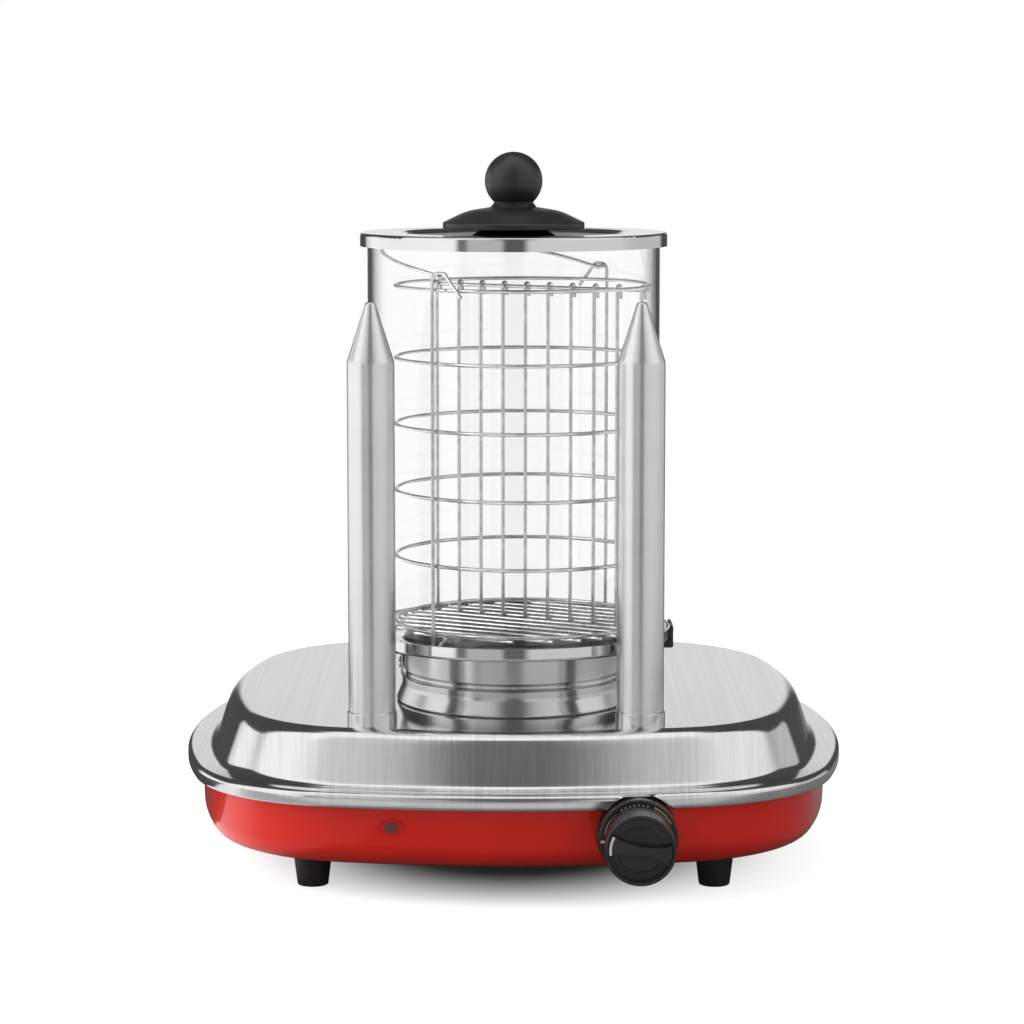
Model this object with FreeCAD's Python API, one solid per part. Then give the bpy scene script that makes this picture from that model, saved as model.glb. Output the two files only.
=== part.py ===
"""Hot dog toaster: a steam basket in a glass tower and two heated bun spikes on a low base.

Millimetres, +Z up.  The origin lies on the table, below the middle of the whole outline.
The control knob points along -Y.  Every sub-part is written to parts/NAME.step.
"""
import FreeCAD
import Part

import os
from math import atan2, cos, degrees, hypot, radians, sin, sqrt, tan

Vector = FreeCAD.Vector
X_AXIS = Vector(1, 0, 0)
Y_AXIS = Vector(0, 1, 0)
Z_AXIS = Vector(0, 0, 1)
FULL_TURN = 360.0
QUARTER_TURN = 90.0

# ---- Clearances and joins
rest_gap = 0.3            # under a piece that is only set down on another
slide_gap = 0.1           # around a piece that is pushed into a hole
bolt_gap = 0.2            # around a screw in its hole
bearing_gap = 0.05        # around a turning pin
weld_gap = 0.03           # between two wires at a spot weld
cut_margin = 1.0          # a cut reaches this far past the metal

# ---- Base outline, seen from above, to the edge of the deck
base_half_width = 157.0
base_half_depth = 155.0
front_bulge_radius = 420.0
back_bulge_radius = 500.0
side_bulge_radius = 380.0
front_corner_radius = 72.0
back_corner_radius = 88.0
core_inset = 40.0         # the outline is filled flat inside this distance from its edge
knob_reach = 30.0         # knob ahead of the rim
tower_from_front = 104.0  # tower axis behind the front edge of the deck
arc_names = ("front", "front_right", "right", "back_right", "back", "back_left", "left", "front_left")

# ---- Feet
foot_height = 19.5
foot_top_radius = 10.6
foot_sole_radius = 8.2
front_foot_share = 0.4422 # how far round its corner of the deck the foot stands
front_foot_inset = 24.1   # inside the edge of that corner
rear_foot_share = 0.3583
rear_foot_inset = 32.0
foot_recess_radius = 4.4
foot_recess_depth = 6.0
foot_sole_rounding = 1.0
foot_screw_radius = 2.0
foot_screw_head_radius = 3.8
foot_screw_head_height = 2.6
foot_screw_rounding = 0.5
foot_nut_radius = 4.0
foot_nut_height = 3.2

# ---- Bottom plate
bottom_plate_thickness = 1.5
bottom_plate_inset = 9.5
vent_slot_length = 70.0
vent_slot_width = 4.0
vent_slot_pitch = 12.0
vent_slot_count = 7

# ---- Red housing
housing_height = 40.2
housing_wall = 2.2
housing_top_offset = 17.2
housing_foot_offset = 15.7
housing_rounding = 12.5
housing_flange_inset = 19.0

# ---- Steel top cover
cover_sheet = 0.8
deck_rise = 28.0          # deck above the ledge
deck_edge_rounding = 10.0
skirt_spread = 10.0
ledge_offset = 25.0
ledge_rounding = 5.0
band_rounding = 3.0
band_height = 8.3
band_lip = 6.5
band_lip_rounding = 2.0
heater_hole_radius = 55.0

# ---- Posts and screws that hold the cover and the bottom plate
post_radius = 4.0
post_side_inset = 42.0    # inside the sides of the deck
post_end_inset = 85.0     # inside its front and back
post_bore_depth = 14.0
small_screw_radius = 1.6
small_head_radius = 3.4
small_head_height = 1.4
small_head_rounding = 0.6
boss_radius = 4.2
boss_height = 6.0
boss_inset = 15.6
boss_shares = (0.15, 0.85)  # along the front and back bulges
side_boss_shares = (0.5,)
small_screw_length = 9.0

# ---- Indicator window
lamp_x = -62.9
lamp_height = 22.0        # window middle above the underside of the housing
window_length = 15.6
window_height = 8.9
lens_depth = 6.0
lens_proud = 0.4
lamp_radius = 3.4
lamp_length = 16.0
lamp_collar_radius = 4.6
lamp_collar_length = 3.0
lamp_rounding = 1.0

# ---- Dial, thermostat and control knob
dial_x = 64.0
dial_height = 19.5        # dial axis above the underside of the housing
dial_radius = 20.4
dial_depth = 19.5
dial_wall = 2.0
dial_edge_rounding = 0.8
dial_groove_radius = 18.4
dial_groove_width = 0.5
dial_groove_depth = 0.4
pocket_gap = 1.5          # around the dial in its pocket
pocket_wall = 2.2
thermostat_boss_radius = 12.0
thermostat_boss_length = 8.5
thermostat_half_width = 12.0
thermostat_half_height = 10.0
thermostat_depth = 22.0
thermostat_tab_length = 7.0
thermostat_tab_width = 6.3
thermostat_tab_thickness = 0.8
thermostat_tab_spacing = 14.0
bush_radius = 5.0
bush_proud = 7.5
bush_nut_radius = 8.0
bush_nut_height = 3.0
shaft_radius = 3.0
shaft_blind_depth = 12.0
knob_length = 26.0
knob_back_radius = 17.6
knob_front_radius = 18.1
knob_dial_gap = 1.0
knob_rim_width = 1.5
knob_rim_rounding = 0.7
knob_recess = 4.5
knob_wall = 2.2
knob_groove_radius = 12.1
knob_groove_width = 1.0
knob_groove_depth = 0.8
knob_bowl_depth = 0.7
knob_hub_radius = 5.0
knob_face_thickness = 3.2
knob_hub_setback = 0.4
grip_radius = 15.9
grip_end_half_height = 5.0
grip_waist_half_height = 2.0
grip_height = 4.1
grip_tilt = 9.8
pointer_width = 1.3
pointer_thickness = 0.3
clip_thickness = 0.9
clip_width = 3.0

# ---- Bun spikes
spike_radius = 12.4
spike_height = 221.3
spike_cone_height = 31.1
spike_tip_radius = 2.5
spike_tip_rounding = 1.8
spike_shoulder_rounding = 7.2
spike_tip_wall = 4.0
spike_wall = 1.0
spike_forward = 76.6      # spike row ahead of the tower axis
spike_half_spacing = 70.25
spike_shift = -3.85
spike_tail = 12.0
collar_wall = 0.6
collar_height = 7.0
collar_rounding = 0.5
spike_nut_radius = 13.1
spike_nut_height = 6.0
cartridge_radius = 6.0
cartridge_length = 180.0
cartridge_tail = 20.0
cartridge_rounding = 1.0

# ---- Water boiler
boiler_height = 34.7      # flange above the deck
boiler_sheet = 0.8
boiler_foot_radius = 64.5
boiler_flare_height = 9.0
boiler_flare_rounding = 6.0
boiler_foot_rounding = 1.2
boiler_lower_radius = 61.0
boiler_upper_radius = 60.3
groove_radius = 58.8
groove_bottom = 13.5
groove_top = 17.6
groove_slope = 1.1
groove_rounding = 1.0
tray_radius = 85.5
tray_lip_height = 5.9
tray_rounding = 1.6
tray_throat_rounding = 1.0
seal_thickness = 2.0
seal_margin = 0.5
seal_outer_margin = 2.5
seal_rounding = 0.5
boiler_grip_width = 24.0
boiler_grip_height = 4.0
boiler_grip_proud = 1.4   # beyond the tray's lip
boiler_grip_upstand = 7.9
boiler_grip_rounding = 1.2
bracket_sheet = 1.2
bracket_width = 16.0
bracket_foot = 14.2      # foot of the bracket above the deck
bracket_shelf = 17.0
rivet_radius = 1.4
rivet_head_radius = 2.4
rivet_head_height = 1.2
rivet_head_rounding = 0.96
rivet_shank = 3.6         # behind the head
rivet_spacing = 9.0
rivet_height = 19.9       # rivet row above the deck

# ---- Glass tower
glass_radius = 79.0
glass_wall = 2.2
glass_length = 214.5
glass_edge_rounding = 0.8

# ---- Lid
lid_radius = 82.9
lid_sheet = 0.8
lid_band_height = 7.3
lid_rounding = 1.5
lid_recess_depth = 2.0
lid_recess_radius = 58.0
lid_recess_slope = 4.0
lid_recess_rounding = 1.0
lid_boss_height = 3.0     # raised round the knob's foot
lid_boss_radius = 18.5
lid_boss_slope = 4.2
lid_boss_rounding = 2.0
gasket_thickness = 2.0
gasket_inset = 1.0
gasket_width = 5.9
knob_plinth_radius = 16.0
knob_plinth_height = 1.0
dome_edge_radius = 38.2
dome_edge_height = 3.1
dome_edge_rounding = 1.0
dome_rise = 8.2
dome_rounding = 30.0
neck_base_radius = 12.5
neck_top_radius = 10.6
neck_height = 2.3
neck_rounding = 1.0
ball_sink = 0.2           # neck reaches this far into the ball
ball_radius = 15.54
ball_height = 25.4        # ball middle above the plinth
lid_screw_radius = 2.0
lid_screw_head_radius = 4.0
lid_screw_head_height = 2.4
lid_screw_depth = 12.0    # of its hole, above the lid's boss
lid_screw_end_gap = 1.6
lid_screw_rounding = 0.8
lid_washer_radius = 7.0
lid_washer_thickness = 0.8

# ---- Sausage basket
basket_shift = 5.0        # basket axis beside the tower axis
wire_radius = 1.0
ring_radius = 68.8
ring_pitch = 35.8
ring_count = 5
top_ring_pitch = 38.8
basket_lift_height = 9.4  # lowest ring above the boiler's flange
floor_bar_count = 12
floor_bar_pitch = 11.4
floor_bar_overhang = 1.8
divider_turn = -30.0
divider_bar_index = 7     # the floor bar that the divider wires are welded to
divider_wire_count = 10
divider_wire_pitch = 14.2
hook_tail = 5.0
hook_bend_radius = 1.99
side_wire_turn = 51.5
eye_height = 8.9          # middle of the eye's arch above the top ring
eye_half_width = 4.0
eye_bend_radius = 3.9
eye_tail_bend_radius = 3.1
eye_tail_spread = 22.3
eye_tail_drop = 12.5
foot_wire_bend_radius = 1.5
foot_wire_flat = 4.5
foot_wire_rise_run = 5.0
foot_wire_inner_run = 12.0

# ---- Basket bail
bail_inset = 2.6          # bail legs inside the eyes
bail_stub = 1.6           # bail ends outside the eyes
bail_reach = 74.0
bail_corner_radius = 58.0
bail_end_bend_radius = 1.3
bail_rest_tilt = 12.0

# ---- Heater and wiring below the deck
heater_radius = 54.5
heater_flange_radius = 62.0
heater_flange_thickness = 3.0
heater_thickness = 5.4
heater_rounding = 0.3
element_ring_radius = 40.0
element_radius = 4.0
element_gap_turn = 40.0
element_pin_radius = 1.5
element_pin_length = 9.0
element_tail = 6.0
heater_bracket_length = 100.0
heater_bracket_width = 18.0
heater_bracket_sheet = 2.0
heater_screw_circle = 58.3
heater_screw_count = 3
heater_screw_first_turn = 90.0
heater_screw_radius = 1.8
heater_screw_length = 10.0
heater_nut_radius = 3.4
heater_nut_height = 2.8
cutout_radius = 8.0
cutout_height = 5.5
cutout_cap_radius = 5.6
terminal_length = 34.0
terminal_width = 16.0
terminal_height = 14.0
terminal_from_back = 60.0
terminal_groove = 2.0
terminal_pole_count = 4
lead_radius = 1.2
lead_bend = 9.0
lead_level = 14.0         # wiring run above the bottom plate
lead_layer = 8.0          # between leads that cross
lead_exits = (30.0, 45.0, 30.0, 40.0)  # straight run out of each terminal pole
lead_crossings = (70.0, 90.0)  # where leads come across, ahead of the terminals
thermostat_lead_exit = 30.0
heater_lead_exit = 40.0   # of the thermostat's other tab
pin_lead_approach = 20.0
spike_lead_inset = (30.0, 40.0)  # between the spikes, from the left and from the right
spike_lead_setback = (40.0, 16.0)

# ---- Cord inlet
gland_height = 21.0       # inlet above the underside of the housing
gland_radius = 7.0
gland_bore_radius = 3.6
gland_flange_radius = 9.0
gland_flange_thickness = 2.5
gland_taper_length = 5.0
gland_taper_radius = 5.6
gland_tail = 10.0
gland_flange_rounding = 0.8
gland_taper_rounding = 0.6
clamp_width = 22.0
clamp_depth = 8.0
clamp_sheet = 2.0
clamp_arch_radius = 4.2
clamp_from_wall = 48.0

# ---- Levels and places that follow
base_y = knob_reach / 2
tower_y = base_y - base_half_depth + tower_from_front
housing_z = foot_height + bottom_plate_thickness
ledge_under_z = housing_z + housing_height
ledge_z = ledge_under_z + cover_sheet
deck_z = ledge_z + deck_rise
deck_under_z = deck_z - cover_sheet
band_z = ledge_z - band_height
flange_z = deck_z + boiler_height
seal_top_z = flange_z + seal_thickness
glass_z = seal_top_z + rest_gap
glass_top_z = glass_z + glass_length
gasket_z = glass_top_z + rest_gap
lid_under_z = gasket_z + gasket_thickness
lid_z = lid_under_z + lid_sheet
recess_z = lid_z - lid_recess_depth
boss_z = recess_z + lid_boss_height
plinth_top_z = boss_z + knob_plinth_height
dome_top_z = plinth_top_z + dome_edge_height + dome_rise
glass_inner_radius = glass_radius - glass_wall
rim_half_depth = base_half_depth + ledge_offset
knob_front_y = base_y - rim_half_depth - knob_reach
knob_back_y = knob_front_y + knob_length
dial_front_y = knob_back_y + knob_dial_gap
pocket_floor_y = dial_front_y + dial_depth
boss_end_y = pocket_floor_y + thermostat_boss_length
dial_z = housing_z + dial_height
pocket_radius = dial_radius + pocket_gap
lamp_z = housing_z + lamp_height
spike_y = tower_y - spike_forward
wire_step = 2 * wire_radius + weld_gap
bottom_ring_z = flange_z + basket_lift_height
top_ring_z = bottom_ring_z + ring_pitch * (ring_count - 1) + top_ring_pitch
floor_bar_z = bottom_ring_z - wire_step
top_bar_z = top_ring_z - wire_step
side_wire_radius = ring_radius + wire_step
eye_z = top_ring_z + eye_height
bail_z = eye_z - 2 * wire_radius - bearing_gap
heater_top_z = deck_z - rest_gap
heater_under_z = deck_under_z - heater_thickness
element_z = heater_under_z - element_radius - weld_gap


# ---- Drawing helpers
def rounded_corner(before, corner, after, radius):
    """Start, middle and end of the arc that rounds a corner between two straight runs."""
    backward = (before - corner).normalize()
    forward = (after - corner).normalize()
    half_angle = backward.getAngle(forward) / 2
    reach = radius / tan(half_angle)
    bisector = (backward + forward).normalize()
    middle = corner + bisector * (radius / sin(half_angle) - radius)
    return corner + backward * reach, middle, corner + forward * reach


def profile_face(points):
    """Closed face in the XZ plane.  A point is (x, z) or (x, z, corner radius)."""
    corners = [Vector(point[0], 0, point[1]) for point in points]
    count = len(points)
    starts, ends, edges = [], [], []
    for index, point in enumerate(points):
        start = end = corners[index]
        if len(point) > 2:
            after = corners[(index + 1) % count]
            start, middle, end = rounded_corner(corners[index - 1], start, after, point[2])
            edges.append(Part.Arc(start, middle, end).toShape())
        starts.append(start)
        ends.append(end)
    for index in range(count):
        following = starts[(index + 1) % count]
        if (following - ends[index]).Length > 1e-6:
            edges.append(Part.makeLine(ends[index], following))
    return Part.Face(Part.Wire(Part.__sortEdges__(edges)))


def sheet_outline(path, thickness):
    """Outline of bent sheet metal, whose metal lies to the right of its outer path."""
    count = len(path)
    runs = []
    for start, end in zip(path, path[1:]):
        length = hypot(end[0] - start[0], end[1] - start[1])
        runs.append(((end[0] - start[0]) / length, (end[1] - start[1]) / length))
    inner = []
    for index, point in enumerate(path):
        first = runs[max(index - 1, 0)]
        second = runs[min(index, count - 2)]
        spread = 1 + first[0] * second[0] + first[1] * second[1]
        x = point[0] + thickness * (first[1] + second[1]) / spread
        z = point[1] - thickness * (first[0] + second[0]) / spread
        turn = first[0] * second[1] - first[1] * second[0]
        if len(point) > 2:
            radius = point[2] - thickness if turn < 0 else point[2] + thickness
            inner.append((x, z, radius))
        else:
            inner.append((x, z))
    return list(path) + inner[::-1]


def turned(points, x=0.0, y=0.0):
    """Solid of revolution about the vertical line through (x, y)."""
    solid = profile_face(points).revolve(Vector(0, 0, 0), Z_AXIS, FULL_TURN)
    solid.translate(Vector(x, y, 0))
    return solid


def turned_forward(points, x, y, z):
    """Solid of revolution about a line along Y; profile heights run towards -Y from y."""
    solid = profile_face(points).revolve(Vector(0, 0, 0), Z_AXIS, FULL_TURN)
    solid.rotate(Vector(0, 0, 0), X_AXIS, QUARTER_TURN)
    solid.translate(Vector(x, y, z))
    return solid


def disc(radius, low, high, x=0.0, y=0.0):
    """Upright cylinder between two levels."""
    return Part.makeCylinder(radius, high - low, Vector(x, y, low))


def rod_along_y(radius, front, back, x, z):
    """Cylinder along Y between two depths."""
    return Part.makeCylinder(radius, back - front, Vector(x, front, z), Y_AXIS)


def hexagon(radius, low, high, x, y):
    """Upright hexagonal prism; radius is measured to its flats."""
    corner_radius = radius / cos(radians(30))
    corners = [Vector(x + corner_radius * cos(radians(60 * step)),
                      y + corner_radius * sin(radians(60 * step)), low) for step in range(7)]
    return Part.Face(Part.makePolygon(corners)).extrude(Vector(0, 0, high - low))


def block(x0, x1, y0, y1, z0, z1):
    """Box between two corners."""
    return Part.makeBox(x1 - x0, y1 - y0, z1 - z0, Vector(x0, y0, z0))


def bent_rod(points, bends, radius):
    """Round rod along straight runs; bends holds the radius at each inner point."""
    edges = []
    start = points[0]
    for before, corner, after, bend in zip(points, points[1:], points[2:], bends):
        first, middle, last = rounded_corner(before, corner, after, bend)
        edges.append(Part.makeLine(start, first))
        edges.append(Part.Arc(first, middle, last).toShape())
        start = last
    edges.append(Part.makeLine(start, points[-1]))
    section = Part.Wire(Part.makeCircle(radius, points[0], points[1] - points[0]))
    return Part.Wire(edges).makePipeShell([section], True, False)


def joined(solids):
    """One solid from overlapping or abutting ones."""
    return solids[0].multiFuse(solids[1:]).removeSplitter().Solids[0]


def group(solids):
    """Several separate solids that share a node."""
    return Part.makeCompound([solid.Solids[0] for solid in solids])


# ---- Base outline
def corner_centre(bulge_centre, bulge_radius, corner_radius):
    """Middle of a corner arc that runs tangent into its front or back arc and its side arc."""
    side_x = base_half_width - side_bulge_radius
    first = bulge_radius - corner_radius
    second = side_bulge_radius - corner_radius
    spread = hypot(side_x, bulge_centre)
    along = (first ** 2 - second ** 2 + spread ** 2) / (2 * spread)
    across = sqrt(first ** 2 - along ** 2)
    unit_x, unit_y = side_x / spread, -bulge_centre / spread
    ends = []
    for side in (1, -1):
        x = along * unit_x - side * across * unit_y
        y = bulge_centre + along * unit_y + side * across * unit_x
        ends.append((x, y))
    return max(ends)


def outline_arcs():
    """The eight tangent arcs of the base: (centre x, centre y, radius, first and last angle)."""
    front = (0.0, front_bulge_radius - base_half_depth)
    back = (0.0, base_half_depth - back_bulge_radius)
    right = (base_half_width - side_bulge_radius, 0.0)
    front_corner = corner_centre(front[1], front_bulge_radius, front_corner_radius)
    back_corner = corner_centre(back[1], back_bulge_radius, back_corner_radius)

    def heading(start, end):
        return degrees(atan2(end[1] - start[1], end[0] - start[0]))

    front_turn = heading(front, front_corner)
    side_low = heading(right, front_corner)
    side_high = heading(right, back_corner)
    back_turn = heading(back, back_corner)
    half = [(front_corner, front_corner_radius, front_turn, side_low),
            (right, side_bulge_radius, side_low, side_high),
            (back_corner, back_corner_radius, side_high, back_turn)]
    left_half = [((-centre[0], centre[1]), radius, FULL_TURN / 2 - last, FULL_TURN / 2 - first)
                 for centre, radius, first, last in half[::-1]]
    whole = [(front, front_bulge_radius, -FULL_TURN / 2 - front_turn, front_turn)] + half
    whole.append((back, back_bulge_radius, back_turn, FULL_TURN / 2 - back_turn))
    return [(centre[0], centre[1] + base_y, radius, first, last)
            for centre, radius, first, last in whole + left_half]


def outline_prism(offset, low, high):
    """Upright prism whose edge lies a distance outside the base outline."""
    edges = []
    for x, y, radius, first, last in outline_arcs():
        ends = [Vector(x + (radius + offset) * cos(radians(angle)),
                       y + (radius + offset) * sin(radians(angle)), low)
                for angle in (first, (first + last) / 2, last)]
        edges.append(Part.Arc(*ends).toShape())
    return Part.Face(Part.Wire(edges)).extrude(Vector(0, 0, high - low))


def outline_sweep(points):
    """A profile of (distance outside the outline, z) carried round the base."""
    solids = []
    for x, y, radius, first, last in outline_arcs():
        placed = [(point[0] + radius,) + tuple(point[1:]) for point in points]
        sector = profile_face(placed).revolve(Vector(0, 0, 0), Z_AXIS, last - first)
        sector.rotate(Vector(0, 0, 0), Z_AXIS, first)
        sector.translate(Vector(x, y, 0))
        solids.append(sector)
    return solids


def outline_place(arc, share, offset):
    """Point on an outline arc, a share of the way along it and a distance outside it."""
    x, y, radius, first, last = outline_arcs()[arc_names.index(arc)]
    angle = radians(first + share * (last - first))
    return x + (radius + offset) * cos(angle), y + (radius + offset) * sin(angle)


# ---- Housing, bottom plate and top cover
def housing_outline(extra, inner_edge):
    """Outer path of the red housing, moved outward by extra."""
    return [(housing_top_offset + extra, ledge_under_z),
            (housing_foot_offset + extra, housing_z - extra, housing_rounding + extra),
            (inner_edge, housing_z - extra)]


def housing_envelope(extra):
    """The space that the red housing fills, wall and hollow together."""
    outline = [(-core_inset, ledge_under_z)] + housing_outline(extra, -core_inset)
    core = outline_prism(-core_inset, housing_z - extra, ledge_under_z)
    return joined([core] + outline_sweep(outline))


def window_prism(grow, front, back):
    """Pointed oval of the indicator window, carried along Y."""
    half_length = window_length / 2 + grow
    half_height = window_height / 2 + grow
    left = Vector(lamp_x - half_length, front, lamp_z)
    right = Vector(lamp_x + half_length, front, lamp_z)
    top = Vector(lamp_x, front, lamp_z + half_height)
    bottom = Vector(lamp_x, front, lamp_z - half_height)
    edges = [Part.Arc(left, top, right).toShape(), Part.Arc(right, bottom, left).toShape()]
    return Part.Face(Part.Wire(edges)).extrude(Vector(0, back - front, 0))


def boss_places():
    """Where the bottom plate is screwed to the housing: two each front and back, one a side."""
    return [outline_place(arc, share, -boss_inset)
            for arc, shares in (("front", boss_shares), ("right", side_boss_shares),
                                ("back", boss_shares), ("left", side_boss_shares))
            for share in shares]


def gland_wall_y():
    """Outside of the housing's rear wall on its middle line, at the cord inlet."""
    return base_y + base_half_depth + housing_top_offset


def base_housing():
    """Painted housing with the dial pocket, the lamp window and the cord inlet."""
    wall = sheet_outline(housing_outline(0.0, -housing_flange_inset), housing_wall)
    above = outline_prism(ledge_offset, ledge_under_z, ledge_z)
    shell = joined(outline_sweep(wall)).cut(above)
    pocket_front = knob_front_y
    cup = rod_along_y(pocket_radius + pocket_wall, pocket_front,
                      pocket_floor_y + pocket_wall, dial_x, dial_z)
    boss = rod_along_y(thermostat_boss_radius, pocket_front, boss_end_y, dial_x, dial_z)
    inside = housing_envelope(0.0).common(cup.fuse(boss))
    shell = joined([shell, inside])
    for x, y in boss_places():
        boss = disc(boss_radius, housing_z, housing_z + boss_height, x, y)
        shell = joined([shell, boss])
        shell = shell.cut(disc(small_screw_radius, housing_z - cut_margin, ledge_under_z, x, y))
    shell = shell.cut(rod_along_y(pocket_radius, pocket_front, pocket_floor_y, dial_x, dial_z))
    shell = shell.cut(rod_along_y(bush_radius + slide_gap, pocket_front, boss_end_y, dial_x, dial_z))
    shell = shell.cut(window_prism(0.0, pocket_front, boss_end_y + lens_depth))
    gland_z = housing_z + gland_height
    rear = gland_wall_y() + housing_rounding
    return shell.cut(rod_along_y(gland_radius + slide_gap, base_y, rear, 0.0, gland_z))


def bottom_plate():
    """Steel plate that closes the housing, with two rows of vent slots."""
    plate = outline_prism(-bottom_plate_inset, foot_height, housing_z)
    top = housing_z + cut_margin
    for side in (-1, 1):
        for index in range(vent_slot_count):
            y = base_y + (index - (vent_slot_count - 1) / 2) * vent_slot_pitch
            middle = side * (core_inset + vent_slot_length / 2) - side * vent_slot_length / 4
            half = (vent_slot_length - vent_slot_width) / 4
            half_width = vent_slot_width / 2
            slot = block(middle - half, middle + half, y - half_width, y + half_width, 0, top)
            slot = slot.fuse(disc(half_width, 0, top, middle - half, y))
            plate = plate.cut(slot.fuse(disc(half_width, 0, top, middle + half, y)))
    holes = [disc(small_screw_radius + bolt_gap, 0, top, x, y)
             for x, y in boss_places() + post_places()]
    holes += [disc(foot_screw_radius + bolt_gap, 0, top, x, y) for _, x, y in foot_places()]
    return plate.cut(holes)


def top_cover():
    """Brushed steel cover: flat deck, sloping skirt, ledge and hanging band."""
    path = [(-core_inset, deck_z),
            (0.0, deck_z, deck_edge_rounding),
            (skirt_spread, ledge_z, ledge_rounding),
            (ledge_offset, ledge_z, band_rounding),
            (ledge_offset, band_z, band_lip_rounding),
            (ledge_offset - band_lip, band_z)]
    deck = outline_prism(-core_inset, deck_under_z, deck_z)
    cover = joined([deck] + outline_sweep(sheet_outline(path, cover_sheet)))
    low = deck_under_z - cut_margin
    high = deck_z + cut_margin
    holes = [disc(heater_hole_radius, low, high, 0.0, tower_y)]
    holes += [disc(spike_radius + slide_gap, low, high, x, spike_y)
              for x in spike_places().values()]
    notch = rod_along_y(pocket_radius, knob_front_y, pocket_floor_y, dial_x, dial_z)
    below_ledge = block(0, base_half_width, knob_front_y, base_y, 0, ledge_under_z)
    return cover.cut(holes + [notch.common(below_ledge)])


# ---- Feet, posts and screws
def foot_places():
    """Name and place of each foot, in the corners of the outline."""
    places = []
    for row, arc, share, inset in (("front", "front_right", front_foot_share, front_foot_inset),
                                   ("rear", "back_right", rear_foot_share, rear_foot_inset)):
        x, y = outline_place(arc, share, -inset)
        places += [(row + "_left", -x, y), (row + "_right", x, y)]
    return places


def post_places():
    """Where the posts that hold the cover stand."""
    x = base_half_width - post_side_inset
    y = base_half_depth - post_end_inset
    return [(side * x, base_y + step * y) for step in (-1, 1) for side in (-1, 1)]


def foot(x, y):
    """Tapered rubber foot with a recess for its screw."""
    return turned([(foot_screw_radius + bolt_gap, foot_height),
                   (foot_screw_radius + bolt_gap, foot_recess_depth),
                   (foot_recess_radius, foot_recess_depth),
                   (foot_recess_radius, 0.0),
                   (foot_sole_radius, 0.0, foot_sole_rounding),
                   (foot_top_radius, foot_height)], x, y)


def foot_screw(x, y):
    """Screw up through a foot and the bottom plate."""
    head_z = foot_recess_depth - foot_screw_head_height
    end_z = housing_z + foot_nut_height
    return turned([(0.0, head_z),
                   (foot_screw_head_radius, head_z, foot_screw_rounding),
                   (foot_screw_head_radius, foot_recess_depth),
                   (foot_screw_radius, foot_recess_depth),
                   (foot_screw_radius, end_z),
                   (0.0, end_z)], x, y)


def foot_nut(x, y):
    """Nut on the end of a foot's screw."""
    nut = hexagon(foot_nut_radius, housing_z, housing_z + foot_nut_height, x, y)
    return nut.cut(disc(foot_screw_radius, housing_z, housing_z + foot_nut_height, x, y))


def small_screw(x, y, length):
    """Screw up through the bottom plate, its head below the plate."""
    return turned([(0.0, foot_height - small_head_height),
                   (small_head_radius, foot_height - small_head_height, small_head_rounding),
                   (small_head_radius, foot_height),
                   (small_screw_radius, foot_height),
                   (small_screw_radius, foot_height + length),
                   (0.0, foot_height + length)], x, y)


def cover_post(x, y):
    """Threaded post below the deck."""
    post = disc(post_radius, housing_z, deck_under_z, x, y)
    return post.cut(disc(small_screw_radius, housing_z, housing_z + post_bore_depth, x, y))


# ---- Indicator, dial, thermostat and knob
def lens_back_y():
    """Inner face of the indicator lens."""
    return pocket_floor_y + lens_depth


def indicator_lens():
    """Red lens that follows the housing's wall and stands a little proud of it."""
    lens = window_prism(-slide_gap, knob_front_y, lens_back_y())
    return lens.common(housing_envelope(lens_proud))


def indicator_lamp():
    """Small lamp with a collar, behind the lens."""
    return turned_forward([(0.0, -lamp_length), (lamp_radius, -lamp_length, lamp_rounding),
                           (lamp_radius, -lamp_collar_length),
                           (lamp_collar_radius, -lamp_collar_length),
                           (lamp_collar_radius, 0.0), (0.0, 0.0)],
                          lamp_x, lens_back_y(), lamp_z)


def dial_plate():
    """Round dial that stands in the pocket, hollow behind."""
    hole = bush_radius + bolt_gap
    inner = dial_radius - dial_wall
    groove_inner = dial_groove_radius - dial_groove_width
    groove_z = dial_depth - dial_groove_depth
    return turned_forward([(hole, dial_depth - dial_wall), (hole, dial_depth),
                           (groove_inner, dial_depth), (groove_inner, groove_z),
                           (dial_groove_radius, groove_z), (dial_groove_radius, dial_depth),
                           (dial_radius, dial_depth, dial_edge_rounding),
                           (dial_radius, 0.0), (inner, 0.0),
                           (inner, dial_depth - dial_wall)],
                          dial_x, pocket_floor_y, dial_z)


def thermostat_body():
    """Thermostat with its threaded bush and two contact tabs."""
    back = boss_end_y + thermostat_depth
    body = block(dial_x - thermostat_half_width, dial_x + thermostat_half_width,
                 boss_end_y, back,
                 dial_z - thermostat_half_height, dial_z + thermostat_half_height)
    bush = rod_along_y(bush_radius, pocket_floor_y - bush_proud, boss_end_y, dial_x, dial_z)
    tabs = [block(x - thermostat_tab_width / 2, x + thermostat_tab_width / 2,
                  back, back + thermostat_tab_length,
                  dial_z, dial_z + thermostat_tab_thickness)
            for x in thermostat_tab_places()]
    bore = rod_along_y(shaft_radius + bearing_gap, pocket_floor_y - bush_proud,
                       boss_end_y + shaft_blind_depth, dial_x, dial_z)
    return joined([body, bush] + tabs).cut(bore)


def thermostat_tab_places():
    """X of the two contact tabs."""
    return (dial_x - thermostat_tab_spacing / 2, dial_x + thermostat_tab_spacing / 2)


def thermostat_nut():
    """Nut on the bush, inside the hollow of the dial."""
    nut = hexagon(bush_nut_radius, 0, bush_nut_height, 0, 0)
    nut = nut.cut(disc(bush_radius, 0, bush_nut_height))
    nut.rotate(Vector(0, 0, 0), X_AXIS, QUARTER_TURN)
    nut.translate(Vector(dial_x, pocket_floor_y, dial_z))
    return nut


def knob_bore_depth():
    """How far the shaft goes into the knob, from the knob's back."""
    return knob_length - knob_recess - knob_face_thickness


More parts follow.
